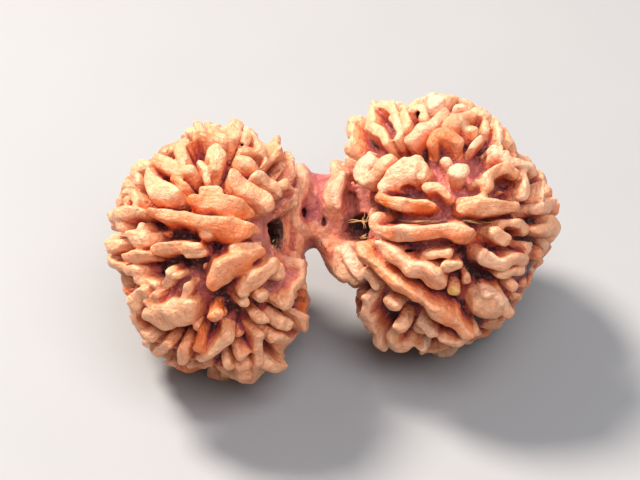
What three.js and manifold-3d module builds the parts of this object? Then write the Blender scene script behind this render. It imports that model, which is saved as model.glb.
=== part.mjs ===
// Gauri shankar rudraksha: two stone seeds of one fruit that grew joined side by side.
// Millimetres, +Z up. The long way is X, and the bead rests on the plane z = 0.
// Each seed is a solid core with tall winding ridges on it, and has its own bore for a string.

import * as THREE from 'three';
import { mergeVertices } from 'three/addons/utils/BufferGeometryUtils.js';
import Module from 'manifold-3d';

// Driving dimensions
const centreHeight = 9.8; // both seeds' centres above the resting plane
const leftSeed = {
  centre: new THREE.Vector3(-9.1, 0, centreHeight),
  coreHalf: new THREE.Vector3(6.0, 7.8, 7.8), // valley floors
  tipHalf: new THREE.Vector3(8.0, 10.0, 10.0), // ridge tips
  mouth: [5.0, 1.5], // chart point of the bore's mouth
};
const rightSeed = {
  centre: new THREE.Vector3(8.2, 0, centreHeight),
  coreHalf: new THREE.Vector3(6.9, 8.0, 8.0),
  tipHalf: new THREE.Vector3(8.9, 10.2, 10.2),
  mouth: [-6.2, -0.1],
};
const neck = {
  centre: new THREE.Vector3(-1.1, 2.3, centreHeight + 1.0),
  half: new THREE.Vector3(3.5, 2.9, 2.8),
};
const boreRadius = 0.8;
const mouthRadius = 1.15;
const mouthDepth = 2.6;
const ridgeSink = 0.7; // how far a ridge's root goes below the valley floor
const rootShare = 0.92; // width of a ridge's root, as a share of its widest
const topShare = 0.62; // width of its flat top
const endReach = 0.7; // a ridge runs on past its last point by this share of its half width
const endShare = 0.8; // and narrows to this share there
const restRidge = { offset: 3.1, reach: 1.0, half: 0.85, drop: 0.35 };

// The charts give each ridge's crest as (right, up) from the seed's centre, as the pair is seen
// from the front: from this azimuth, this far above, at this distance from the aim point.
const viewAzimuth = THREE.MathUtils.degToRad(-10);
const viewElevation = THREE.MathUtils.degToRad(40);
const viewDistance = 160;
const missReach = 1.08; // as a share of the seed's own size
const aim = new THREE.Vector3(-1.035, 0, centreHeight + 0.07);

// A ridge is its height as a share of the full relief, then crest points: right, up, half width.
const leftRidges = [
  // long ridges that run to the mouth
  [1, [-4.9, 3.1, 0.3], [-4.0, 2.9, 0.5], [-2.6, 2.75, 0.4], [-1.2, 2.4, 0.5], [0.2, 2.15, 0.65],
    [1.3, 1.9, 0.75], [2.5, 1.75, 0.55], [3.7, 1.7, 0.3]],
  [1, [-1.8, 4.0, 0.3], [-0.9, 3.8, 0.45], [0.3, 3.8, 0.55], [1.6, 3.5, 0.5], [3.2, 3.1, 0.3]],
  [0.95, [-1.0, 4.75, 0.3], [-0.2, 4.7, 0.35], [0.7, 4.4, 0.3]],
  [1, [-4.6, 0.2, 0.35], [-3.7, 0.35, 0.5], [-2.6, 0.5, 0.45], [-0.8, 0.4, 0.3]],
  [0.9, [-2.0, -0.1, 0.35], [-0.5, 0.1, 0.3]],
  [1, [1.6, 6.2, 0.35], [1.9, 5.5, 0.55], [2.9, 4.8, 0.65], [3.9, 4.1, 0.6], [4.4, 3.2, 0.4]],
  [1, [3.2, 5.9, 0.3], [4.1, 5.55, 0.38], [5.0, 4.9, 0.4], [5.4, 4.2, 0.3]],
  [1, [5.3, 5.2, 0.35], [6.1, 4.9, 0.4], [6.6, 4.3, 0.4], [6.4, 3.6, 0.3]],
  [0.8, [6.4, 3.3, 0.5], [6.65, 2.0, 0.8], [6.6, 0.5, 0.7]],
  // upper left
  [1, [-1.7, 9.1, 0.35], [-1.6, 9.4, 0.35]],
  [1, [-1.1, 9.8, 0.38], [-0.8, 9.1, 0.45]],
  [0.95, [-1.5, 8.6, 0.3], [-0.8, 8.9, 0.35], [0.3, 8.6, 0.3]],
  [0.95, [-0.5, 8.1, 0.5], [0.4, 7.8, 0.7], [0.4, 7.1, 0.55], [0.1, 6.3, 0.3]],
  [0.9, [-0.6, 7.9, 0.3], [-0.6, 7.2, 0.35]],
  [1, [-1.7, 8.4, 0.35], [-2.5, 8.1, 0.42], [-2.1, 6.9, 0.35]],
  [1, [-4.4, 7.0, 0.35], [-3.5, 6.7, 0.48], [-2.3, 6.3, 0.5], [-1.3, 6.2, 0.4]],
  [1, [-4.7, 6.7, 0.35], [-5.6, 6.4, 0.45], [-6.0, 6.0, 0.45], [-5.8, 5.4, 0.35]],
  [1, [-5.0, 6.0, 0.5], [-4.6, 5.2, 0.68], [-3.8, 4.6, 0.7], [-2.6, 4.4, 0.45]],
  [0.85, [-2.9, 5.6, 0.28], [-1.9, 4.9, 0.28]],
  [1, [-6.2, 4.5, 0.38], [-5.8, 3.9, 0.45]],
  [1, [-6.4, 4.2, 0.32], [-6.7, 3.8, 0.35]],
  [1, [-5.3, 3.1, 0.3], [-6.3, 3.1, 0.42], [-7.4, 2.8, 0.42]],
  [1, [-7.3, 2.5, 0.5], [-7.1, 1.9, 0.55]],
  [1, [-6.3, 1.1, 0.7], [-5.4, 1.1, 0.65]],
  [1, [-7.7, 0.5, 0.5], [-7.4, 0.6, 0.5]],
  // upper right
  [1, [0.1, 9.4, 0.32], [0.6, 8.9, 0.45], [1.2, 8.5, 0.45]],
  [1, [1.9, 9.8, 0.42], [1.6, 9.2, 0.5], [1.3, 8.6, 0.35]],
  [1, [2.6, 8.9, 0.32], [2.6, 8.4, 0.35]],
  [1, [3.2, 9.0, 0.32], [3.5, 8.3, 0.48], [4.0, 7.4, 0.4]],
  [0.9, [2.0, 7.6, 0.3], [3.3, 7.65, 0.33]],
  [0.95, [1.9, 7.4, 0.3], [2.6, 6.8, 0.45], [3.6, 6.3, 0.3]],
  [1, [5.1, 8.7, 0.28], [5.1, 7.5, 0.35]],
  [1, [5.8, 7.8, 0.42], [6.2, 6.8, 0.6], [6.5, 5.7, 0.3]],
  [0.9, [4.5, 7.1, 0.35], [4.1, 6.8, 0.3]],
  // lower left
  [0.95, [-6.6, -0.3, 0.32], [-5.8, -0.3, 0.4], [-4.9, -0.3, 0.35]],
  [0.85, [-7.7, -0.3, 0.3], [-7.2, -1.0, 0.4], [-5.5, -1.5, 0.4]],
  [0.8, [-5.8, -1.9, 0.3], [-4.3, -2.6, 0.35]],
  [1, [-3.4, -1.2, 0.28], [-3.2, -1.8, 0.35], [-3.7, -2.5, 0.28]],
  [0.85, [-1.7, -2.3, 0.3], [-2.2, -3.5, 0.33]],
  [1, [-4.6, -5.3, 0.75], [-3.7, -4.9, 1.0], [-2.6, -4.6, 0.85], [-1.2, -4.2, 0.4]],
  [0.95, [-4.2, -3.1, 0.3], [-5.0, -3.8, 0.45]],
  [1, [-5.3, -2.7, 0.3], [-5.9, -3.8, 0.33], [-5.8, -4.9, 0.35], [-5.4, -6.1, 0.4]],
  [1, [-3.3, -6.8, 0.32], [-4.1, -7.6, 0.4]],
  [1, [-2.1, -6.9, 0.35], [-2.2, -7.6, 0.35], [-2.3, -8.4, 0.38]],
  [1, [-0.9, -6.4, 0.42], [-1.1, -7.3, 0.45]],
  [1, [-1.0, -8.0, 0.35], [0.4, -7.3, 0.42], [1.5, -6.3, 0.65]],
  // lower right
  [1, [4.0, 0.2, 0.4], [2.6, -0.5, 0.62], [1.3, -1.2, 0.85], [0.4, -2.0, 0.8], [-0.1, -2.7, 0.6]],
  [0.85, [1.4, 0.3, 0.3], [2.6, 0.35, 0.35], [3.8, 0.7, 0.3]],
  [1, [5.0, -0.5, 0.32], [4.0, -1.4, 0.42], [2.9, -2.3, 0.42], [2.1, -3.2, 0.42]],
  [0.9, [5.3, -0.8, 0.32], [5.1, -1.9, 0.4]],
  [0.9, [4.2, -3.2, 0.38], [3.4, -3.4, 0.38]],
  [0.85, [2.5, -3.5, 0.45], [2.4, -4.0, 0.4]],
  [1, [6.2, 0.1, 0.5], [6.8, -1.0, 0.5], [6.6, -2.2, 0.42], [5.9, -3.3, 0.4], [5.4, -4.2, 0.35]],
  [1, [3.8, -5.2, 0.58], [3.9, -4.9, 0.5]],
  [1, [3.6, -6.1, 0.45], [3.5, -7.3, 0.35], [3.5, -8.5, 0.35], [3.1, -9.4, 0.32]],
  [1, [2.0, -7.9, 0.48], [2.8, -7.9, 0.48]],
  [1, [2.4, -8.7, 0.6], [2.5, -9.3, 0.55]],
  [1, [0.7, -4.4, 0.36], [-0.2, -5.1, 0.38]],
  [1, [5.4, -5.4, 0.48], [5.9, -5.5, 0.48]],
  [0.95, [4.7, -6.6, 0.42], [5.7, -6.6, 0.42]],
  [0.85, [4.1, -8.6, 0.45], [5.3, -8.6, 0.45]],
  [1, [7.2, -4.8, 0.28], [7.1, -5.7, 0.3]],
];
const rightRidges = [
  // upper arm, round end and lower arm of the rim beside the mouth, and the ridges along it
  [1, [-5.1, 2.4, 0.35], [-4.2, 1.95, 0.42], [-2.6, 1.65, 0.45], [-0.4, 1.5, 0.3]],
  [1, [-4.9, 1.0, 0.4], [-5.1, 0.2, 0.42], [-4.6, -0.35, 0.45], [-2.8, -0.5, 0.52],
    [-0.8, -0.4, 0.55], [0.9, -0.35, 0.6], [2.4, -0.8, 0.68]],
  [1, [-5.0, -1.2, 0.35], [-4.0, -2.1, 0.45], [-2.6, -3.0, 0.62], [-1.3, -3.6, 0.8], [-0.1, -4.6, 0.6]],
  [1, [0.1, -3.1, 0.4], [1.6, -2.9, 0.3]],
  [1, [-6.6, -1.4, 0.4], [-5.6, -2.6, 0.48], [-4.0, -4.0, 0.42], [-2.2, -5.2, 0.38],
    [-0.7, -6.3, 0.5], [0.8, -7.4, 0.55], [2.2, -8.3, 0.35]],
  [0.8, [-5.9, -3.3, 0.38], [-5.1, -4.7, 0.38]],
  // upper left
  [1, [-6.2, 8.4, 0.38], [-6.9, 7.8, 0.45], [-6.9, 6.6, 0.38], [-7.1, 5.5, 0.35]],
  [1, [-5.0, 9.4, 0.48], [-5.4, 8.6, 0.52], [-5.6, 7.5, 0.45]],
  [0.95, [-5.4, 7.6, 0.4], [-4.7, 7.1, 0.45], [-4.1, 6.2, 0.3]],
  [0.95, [-4.9, 9.2, 0.4], [-3.8, 9.0, 0.42], [-3.7, 8.3, 0.4]],
  [0.95, [-3.7, 8.4, 0.32], [-3.1, 7.4, 0.38], [-3.5, 6.5, 0.4]],
  [0.95, [-2.9, 8.7, 0.35], [-2.7, 7.4, 0.35]],
  [1, [-2.8, 6.4, 0.35], [-1.6, 7.2, 0.46], [-0.4, 8.1, 0.46], [0.4, 8.8, 0.35]],
  [1, [-1.0, 9.6, 0.58], [0.1, 9.7, 0.58]],
  [0.95, [-2.3, 8.7, 0.28], [-1.7, 9.0, 0.3], [-1.3, 8.2, 0.28]],
  [1, [-0.8, 6.2, 0.38], [-0.5, 6.8, 0.46], [0.8, 6.85, 0.46], [1.6, 6.4, 0.4]],
  [1, [-5.6, 5.6, 0.5], [-6.0, 4.7, 0.8], [-6.6, 3.6, 0.6]],
  [1, [-3.8, 5.4, 0.36], [-5.0, 4.3, 0.42], [-6.2, 3.3, 0.36]],
  [1, [-1.8, 5.3, 0.5], [-2.2, 4.7, 0.85], [-3.4, 4.0, 0.75], [-4.8, 3.0, 0.42]],
  [0.95, [-1.5, 4.9, 0.4], [-1.6, 3.7, 0.35]],
  [1, [-7.3, 4.1, 0.28], [-8.1, 2.9, 0.32], [-8.2, 0.9, 0.32]],
  [1, [-7.9, 2.2, 0.5], [-8.0, 0.8, 0.75], [-7.9, -0.8, 0.8]],
  [1, [-8.5, 5.3, 0.42], [-8.6, 4.3, 0.45]],
  [0.9, [-1.4, 3.0, 0.28], [-0.3, 3.0, 0.32], [0.7, 2.1, 0.3]],
  // upper right
  [1, [0.9, 9.2, 0.32], [1.9, 9.0, 0.36]],
  [0.95, [0.3, 7.6, 0.36], [1.3, 8.1, 0.48], [2.5, 8.6, 0.42]],
  [0.85, [1.2, 7.8, 0.32], [2.7, 7.4, 0.4]],
  [1, [3.1, 8.6, 0.48], [3.8, 8.4, 0.46]],
  [0.9, [3.3, 8.0, 0.3], [3.5, 7.3, 0.32]],
  [1, [4.2, 7.9, 0.28], [4.6, 6.6, 0.32]],
  [1, [0.6, 4.3, 0.55], [1.2, 4.25, 0.7], [1.9, 4.4, 0.52]],
  [1, [3.5, 2.8, 0.36], [3.7, 3.8, 0.42], [4.7, 4.4, 0.42], [5.8, 4.0, 0.36]],
  [1, [4.8, 5.1, 0.3], [6.0, 4.8, 0.38], [7.1, 4.1, 0.38]],
  [1, [6.3, 4.2, 0.36], [6.3, 3.2, 0.42], [6.2, 2.2, 0.36]],
  [1, [7.6, 3.4, 0.28], [7.6, 2.0, 0.32]],
  [0.9, [4.0, 5.5, 0.3], [5.0, 5.4, 0.36]],
  [1, [1.2, 1.3, 0.36], [2.2, 1.5, 0.56], [3.8, 1.5, 0.52], [5.9, 1.5, 0.4]],
  [1, [7.0, 1.3, 0.36], [8.4, 1.6, 0.5]],
  // lower left
  [1, [-8.5, -0.8, 0.46], [-8.6, -1.7, 0.46], [-8.1, -2.7, 0.42]],
  [1, [-7.6, -2.4, 0.4], [-7.4, -3.5, 0.42], [-6.7, -4.3, 0.36]],
  [1, [-5.9, -5.3, 0.32], [-5.7, -6.8, 0.46], [-5.2, -8.0, 0.44], [-4.5, -9.2, 0.44]],
  [1, [-3.5, -7.7, 0.62], [-3.0, -7.8, 0.62]],
  [1, [-4.0, -8.2, 0.36], [-3.4, -9.0, 0.5], [-2.5, -9.3, 0.58]],
  [0.95, [-4.4, -5.9, 0.5], [-3.3, -6.1, 0.4]],
  [0.8, [-1.8, -7.2, 0.38], [-0.6, -8.3, 0.45]],
  [0.9, [-1.8, -9.4, 0.5], [-1.3, -9.5, 0.48]],
  [0.9, [-0.2, -8.6, 0.4], [1.2, -8.7, 0.42], [2.7, -8.0, 0.38]],
  // lower right
  [1, [2.9, -6.2, 0.9], [3.7, -6.6, 1.0], [4.5, -6.7, 0.8]],
  [1, [3.2, -5.3, 0.36], [4.2, -5.3, 0.42], [5.1, -6.5, 0.42]],
  [0.85, [0.8, -4.8, 0.4], [0.9, -5.1, 0.4]],
  [1, [3.4, -1.9, 0.46], [3.3, -2.4, 0.5], [4.4, -2.9, 0.48], [5.5, -2.45, 0.5], [6.6, -2.6, 0.36]],
  [0.85, [4.2, -3.7, 0.32], [6.2, -3.3, 0.36]],
  [0.9, [5.4, -4.5, 0.35], [5.8, -4.6, 0.35]],
  [1, [3.8, -0.1, 0.42], [4.4, -0.7, 0.52], [5.2, -1.1, 0.42]],
  [0.95, [4.4, 0.15, 0.35], [5.9, 0.25, 0.36], [6.6, -0.4, 0.46]],
  [1, [7.2, -0.2, 0.32], [8.5, -0.3, 0.4]],
  [1, [6.4, -1.3, 0.34], [6.8, -1.9, 0.38]],
];

// Ridges on the sides that the charts don't reach: bands of short ridges round the seed's own axis,
// which is the line of its bore. Angles are in degrees.
const farBands = [16, 41, 66, 91, 116, 141];
const farReach = 11; // half the length of such a ridge, as an angle
const farPitch = 2.35; // spacing across the ridges, in millimetres
const farRadius = 8.6; // radius that the spacing is measured at
const farSeed = 4711;
const farGuard = 0.6; // clear space round the neck and the resting ridges

const right = new THREE.Vector3(Math.cos(viewAzimuth), Math.sin(viewAzimuth), 0);
const back = new THREE.Vector3(
  Math.sin(viewAzimuth) * Math.cos(viewElevation),
  -Math.cos(viewAzimuth) * Math.cos(viewElevation),
  Math.sin(viewElevation),
);
const up = new THREE.Vector3().crossVectors(back, right);
const eye = aim.clone().addScaledVector(back, viewDistance);

const wasm = await Module();
wasm.setup();

function solid(geometry) {
  geometry.deleteAttribute('normal');
  geometry.deleteAttribute('uv');
  const merged = mergeVertices(geometry, 1e-5);
  return new wasm.Manifold(new wasm.Mesh({
    numProp: 3,
    vertProperties: new Float32Array(merged.attributes.position.array),
    triVerts: new Uint32Array(merged.index.array),
  }));
}

// Where the seed's centre shows in the chart's plane, which stands through the aim point.
function chartOrigin(seed) {
  const toCentre = seed.centre.clone().sub(eye);
  toCentre.multiplyScalar(viewDistance / -toCentre.dot(back));
  return eye.clone().add(toCentre);
}

// The point of the seed's ellipsoid of these half sizes that a chart point shows: where the line of
// sight meets it, or where it passes nearest when it misses, though no more than missReach out.
function seenPoint(seed, half, across, rise) {
  const target = chartOrigin(seed).addScaledVector(right, across).addScaledVector(up, rise);
  const start = eye.clone().sub(seed.centre).divide(half);
  const run = target.sub(eye).divide(half);
  const a = run.dot(run);
  const b = start.dot(run);
  const room = b * b - a * (start.dot(start) - 1);
  const t = (-b - Math.sqrt(Math.max(room, 0))) / a;
  const hit = start.addScaledVector(run, t);
  return hit.divideScalar(Math.max(1, hit.length() / missReach)).multiply(half).add(seed.centre);
}

function reliefHalf(seed, tall) {
  return seed.coreHalf.clone().lerp(seed.tipHalf, tall);
}

function outward(seed, half, point) {
  return point.clone().sub(seed.centre).divide(half).divide(half).normalize();
}

// One ridge: a four-sided section, wide at the root and flat on top, carried along crest points.
function ridgeSolid(crests) {
  const last = crests.length - 1;
  const corners = [];
  crests.forEach((crest, i) => {
    const before = crests[Math.max(i - 1, 0)].point;
    const after = crests[Math.min(i + 1, last)].point;
    const along = after.clone().sub(before).normalize();
    const across = new THREE.Vector3().crossVectors(along, crest.normal).normalize();
    const isEnd = i === 0 || i === last;
    const point = crest.point.clone();
    let half = crest.half;
    if (isEnd) {
      point.addScaledVector(along, (i === 0 ? -1 : 1) * half * endReach);
      half *= endShare;
    }
    const root = point.clone().addScaledVector(crest.normal, -crest.depth);
    corners.push(
      root.clone().addScaledVector(across, -half * rootShare),
      root.clone().addScaledVector(across, half * rootShare),
      point.clone().addScaledVector(across, half * topShare),
      point.clone().addScaledVector(across, -half * topShare),
    );
  });
  const faces = [[0, 1, 2], [0, 2, 3]];
  for (let i = 0; i < last; i += 1) {
    for (let side = 0; side < 4; side += 1) {
      const a = 4 * i + side;
      const b = 4 * i + ((side + 1) % 4);
      faces.push([a, a + 4, b], [b, a + 4, b + 4]);
    }
  }
  const end = 4 * last;
  faces.push([end, end + 2, end + 1], [end, end + 3, end + 2]);
  const geometry = new THREE.BufferGeometry().setFromPoints(corners);
  geometry.setIndex(faces.flat());
  return solid(geometry);
}

function crestAt(seed, tall, point, half) {
  const normal = outward(seed, reliefHalf(seed, tall), point);
  const floor = seed.centre.clone().add(
    point.clone().sub(seed.centre).divide(reliefHalf(seed, tall)).normalize().multiply(seed.coreHalf),
  );
  return { point, normal, half, depth: point.distanceTo(floor) + ridgeSink };
}

function chartedRidge(seed, [tall, ...points]) {
  const relief = reliefHalf(seed, tall);
  return points.map(([across, rise, half]) => (
    crestAt(seed, tall, seenPoint(seed, relief, across, rise), half)));
}

// Park and Miller's generator, so that the far ridges fall the same way every time.
function drawer(start) {
  let state = start;
  return (low, high) => {
    state = (state * 16807) % 2147483647;
    return low + ((high - low) * state) / 2147483647;
  };
}

function mouthPoint(seed) {
  return seenPoint(seed, seed.coreHalf, ...seed.mouth);
}

// Unit directions on the seed's own globe, whose poles are the two ends of its bore.
function globe(seed) {
  const pole = mouthPoint(seed).sub(seed.centre).divide(seed.coreHalf).normalize();
  const east = new THREE.Vector3().crossVectors(pole, new THREE.Vector3(0, 0, 1)).normalize();
  const north = new THREE.Vector3().crossVectors(pole, east);
  return (fromBack, turn) => {
    const polar = THREE.MathUtils.degToRad(fromBack);
    const azimuth = THREE.MathUtils.degToRad(turn);
    return pole.clone().multiplyScalar(-Math.cos(polar))
      .addScaledVector(east, Math.sin(polar) * Math.cos(azimuth))
      .addScaledVector(north, Math.sin(polar) * Math.sin(azimuth));
  };
}

function nearNeck(point) {
  const reach = neck.half.clone().addScalar(farGuard);
  return point.clone().sub(neck.centre).divide(reach).length() < 1;
}

function nearRest(seed, point) {
  const dx = Math.abs(point.x - seed.centre.x);
  const dy = Math.abs(Math.abs(point.y) - restRidge.offset);
  const beside = dx < restRidge.reach + farGuard && dy < restRidge.half + farGuard;
  return beside && point.z < restRidge.offset;
}

function isFar(seed, crest) {
  const toEye = eye.clone().sub(crest.point).normalize();
  return crest.normal.dot(toEye) < 0 && !nearNeck(crest.point) && !nearRest(seed, crest.point);
}

function farRidges(seed, draw) {
  const direction = globe(seed);
  const ridges = [];
  farBands.forEach((band) => {
    const round = 2 * Math.PI * farRadius * Math.sin(THREE.MathUtils.degToRad(band));
    const count = Math.round(round / farPitch);
    for (let i = 0; i < count; i += 1) {
      const turn = ((i + draw(-0.2, 0.2)) * 360) / count;
      const drift = draw(-6, 6) / Math.sin(THREE.MathUtils.degToRad(band));
      const middle = band + draw(-3, 3);
      const tall = draw(0.88, 1);
      const half = draw(0.5, 0.8);
      const crests = [-1, 1].map((step) => {
        const ray = direction(middle + step * farReach, turn + step * drift);
        const point = ray.multiply(reliefHalf(seed, tall)).add(seed.centre);
        return crestAt(seed, tall, point, half);
      });
      if (crests.every((crest) => isFar(seed, crest))) ridges.push(crests);
    }
  });
  return ridges;
}

// Two ridges under each seed that are ground flat by the resting plane.
function restingRidges(seed) {
  return [-1, 1].map((side) => [-1, 1].map((way) => {
    const point = new THREE.Vector3(
      seed.centre.x + way * restRidge.reach, side * restRidge.offset, -restRidge.drop,
    );
    return crestAt(seed, 1, point, restRidge.half);
  }));
}

function ellipsoid(centre, half, around, rings) {
  const geometry = new THREE.SphereGeometry(1, around, rings);
  geometry.rotateZ(Math.PI / 2);
  geometry.scale(half.x, half.y, half.z);
  geometry.translate(centre.x, centre.y, centre.z);
  return solid(geometry);
}

// A cylinder or cone whose axis runs from one point to another.
function rod(from, to, radiusFrom, radiusTo, sides) {
  const run = to.clone().sub(from);
  const geometry = new THREE.CylinderGeometry(radiusTo, radiusFrom, run.length(), sides);
  const turn = new THREE.Quaternion().setFromUnitVectors(new THREE.Vector3(0, 1, 0), run.normalize());
  geometry.applyQuaternion(turn);
  const middle = from.clone().add(to).multiplyScalar(0.5);
  geometry.translate(middle.x, middle.y, middle.z);
  return solid(geometry);
}

// The string's bore: straight through the seed's centre, a little wider at both mouths.
function bores(seed) {
  const outside = mouthPoint(seed).sub(seed.centre);
  const way = outside.clone().normalize();
  const reach = outside.length() + 3;
  return [-1, 1].flatMap((side) => {
    const surface = seed.centre.clone().addScaledVector(outside, side);
    const open = seed.centre.clone().addScaledVector(way, side * reach);
    const deep = surface.clone().addScaledVector(way, -side * mouthDepth);
    return [rod(seed.centre, open, boreRadius, boreRadius, 8), rod(deep, open, boreRadius, mouthRadius, 8)];
  });
}

function underTable() {
  const depth = 10;
  const geometry = new THREE.BoxGeometry(60, 60, depth);
  geometry.translate(0, 0, -depth / 2);
  return solid(geometry);
}

function seedSolid(seed, ridges, draw) {
  const crests = [
    ...ridges.map((ridge) => chartedRidge(seed, ridge)),
    ...farRidges(seed, draw),
    ...restingRidges(seed),
  ];
  const core = ellipsoid(seed.centre, seed.coreHalf, 14, 10);
  return crests.reduce((body, ridge) => body.add(ridgeSolid(ridge)), core);
}

function toGeometry(body) {
  const mesh = body.getMesh();
  const geometry = new THREE.BufferGeometry();
  geometry.setAttribute('position', new THREE.BufferAttribute(mesh.vertProperties, 3));
  geometry.setIndex(new THREE.BufferAttribute(mesh.triVerts, 1));
  return geometry;
}

function gauriShankar() {
  const draw = drawer(farSeed);
  const grown = seedSolid(leftSeed, leftRidges, draw)
    .add(seedSolid(rightSeed, rightRidges, draw))
    .add(ellipsoid(neck.centre, neck.half, 12, 8));
  const bored = [...bores(leftSeed), ...bores(rightSeed)].reduce((body, cut) => body.subtract(cut), grown);
  const rested = bored.subtract(underTable());
  const material = new THREE.MeshStandardMaterial({ color: 0xb98465, roughness: 0.55, metalness: 0 });
  const mesh = new THREE.Mesh(toGeometry(rested), material);
  mesh.name = 'gauri_shankar_bead';
  return mesh;
}

const group = new THREE.Group();
group.add(gauriShankar());

export default group;
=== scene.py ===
import math
import bmesh
import bpy
import numpy as np
from mathutils import Matrix


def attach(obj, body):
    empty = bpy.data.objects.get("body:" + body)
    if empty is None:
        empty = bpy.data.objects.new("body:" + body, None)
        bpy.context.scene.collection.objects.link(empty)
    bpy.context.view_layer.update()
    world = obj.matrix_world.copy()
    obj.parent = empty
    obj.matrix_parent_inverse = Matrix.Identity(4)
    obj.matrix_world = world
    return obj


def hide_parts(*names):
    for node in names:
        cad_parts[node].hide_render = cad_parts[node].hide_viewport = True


# A gauri shankar bead: two ridged stone seeds grown together. Shapes are worked out in millimetres,
# in the frame's axes, and go to metres when a mesh is made.
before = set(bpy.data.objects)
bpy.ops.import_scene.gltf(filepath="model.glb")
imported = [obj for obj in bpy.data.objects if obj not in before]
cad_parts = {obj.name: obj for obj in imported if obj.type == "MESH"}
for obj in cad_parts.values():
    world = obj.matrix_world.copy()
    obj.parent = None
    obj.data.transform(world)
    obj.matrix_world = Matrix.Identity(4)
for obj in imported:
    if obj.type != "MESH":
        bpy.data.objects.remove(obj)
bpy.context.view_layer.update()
metresPerMm = 0.001
beadNode = "gauri_shankar_bead"

# The charts give ridge crests as (right, up) from a seed's centre, as seen by this camera.
viewSet = {
    "azimuth": math.radians(-10), "elevation": math.radians(40), "distance": 160.0,
    "aim": (-1.035, 0.0, 9.87), "frameWidth": 47.4, "sensor": 36.0,
}
leftSeed = {"centre": (-9.1, 0.0, 9.8), "coreHalf": (6.0, 7.8, 7.8), "tipHalf": (8.0, 10.0, 10.0),
            "mouth": (5.0, 1.5), "creamFrom": 0.0,
            # distance to the outline in the chart, every 15 degrees round from the left
            "outline": (7.9, 7.0, 7.0, 8.1, 8.8, 9.1, 8.4, 10.3, 10.9, 9.9, 8.5, 7.4,
                        7.2, 7.5, 8.2, 9.5, 10.0, 10.0, 10.0, 8.9, 8.3, 8.8, 8.0, 8.2)}
rightSeed = {"centre": (8.2, 0.0, 9.8), "coreHalf": (6.9, 8.0, 8.0), "tipHalf": (8.9, 10.2, 10.2),
             "mouth": (-6.2, -0.1), "creamFrom": 0.36,
             "outline": (9.0, 9.3, 8.1, 8.8, 10.3, 10.3, 9.1, 8.8, 8.5, 7.8, 7.5, 7.9,
                         8.9, 8.7, 8.4, 7.9, 8.7, 9.5, 10.2, 9.4, 10.8, 10.3, 10.3, 9.3)}
neckSet = {"centre": (-1.1, 2.3, 10.8), "half": (3.5, 2.9, 2.8)}
ridgeSet = {
    "step": 0.16,       # sample spacing along a crest
    "broaden": 1.04,    # the charts' widths are those of the tops, and the walls add to them
    "sink": 0.9,        # root below the valley floor
    "topPoints": 13,    # points across the rounded top
    "roundTop": 0.64,   # height of the rounded top, in half widths
    "square": 2.7,      # power of the top's curve: 2 is an ellipse, more is squarer
    "lean": 0.38,       # how far a top tips to one side or the other
    "leanDown": 0.7,    # how much more it tips towards the lower side
    # depth down the wall, as a share, and width there: waist, foot and root
    "flare": ((0.4, 1.06), (0.75, 1.30), (1.0, 1.75)),
    "leastWall": 1.4,   # least height of a wall, in half widths
    "endReach": 0.45,   # a ridge runs past its last point by this share of its half width
    "wobble": 0.20,     # height of the swells along a crest, in mm
    "swell": 0.18,      # change of width along a crest, as a share
    "clear": 1.003,     # a crest's ellipsoid is stretched this many times,
    "raised": 0.1,      # and by up to this much more where the line of sight misses it
    "fade": 1.6,        # distance over which a crest raised at the outline comes down again
    "taper": 1.45,      # length of a ridge's rounded end, in half widths
    "blunt": 0.12,      # width left at the very end, as a share
    "endDrop": 0.9,     # how far the top comes down there, in half widths
    "tints": 0.64,      # spread of the ridges' tints, from orange to cream
}
# Height, width and lean follow two sines each along a crest: (share, radians in a mm) of either sine.
crestWaves = {"lift": ((0.65, 1.7), (0.35, 3.7)), "broad": ((0.65, 1.5), (0.35, 3.4)),
              "lean": ((0.6, 1.1), (0.4, 2.3))}
# The charts' outlines: degrees from one distance to the next, how far inside them the hidden crests
# stay, and the least height that these keep above the floor.
outlineSet = {"every": 15, "inset": 0.1, "lowest": 1.04}
missReach = 1.1         # lines of sight that miss a seed end this near to it, in half sizes
# The string's bore: its radius, the wider mouth and how deep that goes, and how far the cutter runs past.
boreSet = {"radius": 0.85, "mouthRadius": 1.25, "mouthDepth": 2.6, "past": 3, "sides": 28}

# Holes and hollows, cut as egg shapes that face the camera: chart point, height as a share of the
# relief, half sizes to the right, up and inward, and how dark the painted shade at the bottom is.
leftPits = [
    ((4.95, 1.5), 0.15, (0.52, 1.1, 1.9), 1.0), ((2.3, 8.0), 0.75, (0.30, 0.25, 0.5), 0.6),
    ((1.0, 3.0), 0.35, (0.7, 0.22, 0.5), 0.3),
    ((-3.3, 5.5), 0.6, (0.4, 0.25, 0.6), 0.4), ((4.9, -3.6), 0.3, (0.3, 0.5, 0.5), 0.3),
]
rightPits = [
    ((-6.3, 0.1), 0.2, (0.95, 0.95, 1.9), 1.0), ((-1.7, 8.3), 0.75, (0.22, 0.35, 0.7), 0.9),
    ((-3.7, 7.5), 0.6, (0.25, 0.3, 0.5), 0.6), ((4.7, 3.1), 0.45, (0.7, 0.5, 0.7), 0.4),
    ((-2.4, -1.8), 0.45, (0.42, 0.2, 0.9), 1.0), ((-2.5, 2.8), 0.5, (0.6, 0.35, 0.6), 0.25),
    ((2.5, -3.0), 0.35, (0.6, 0.5, 0.6), 0.4), ((5.8, -1.2), 0.35, (0.4, 0.4, 0.6), 0.6),
    ((4.4, 7.0), 0.5, (0.25, 0.4, 0.6), 0.5),
]
neckPits = [((-0.78, -0.16), 1.0, (0.22, 0.42, 0.9), 0.9), ((0.74, -0.8), 1.0, (0.15, 0.5, 0.6), 0.7)]
# Shade of a pit: the distances and the depths over which it fades, in the pit's own half sizes.
pitShade = {"edge": (1.05, 1.4), "back": (-0.75, 0.25)}
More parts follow.
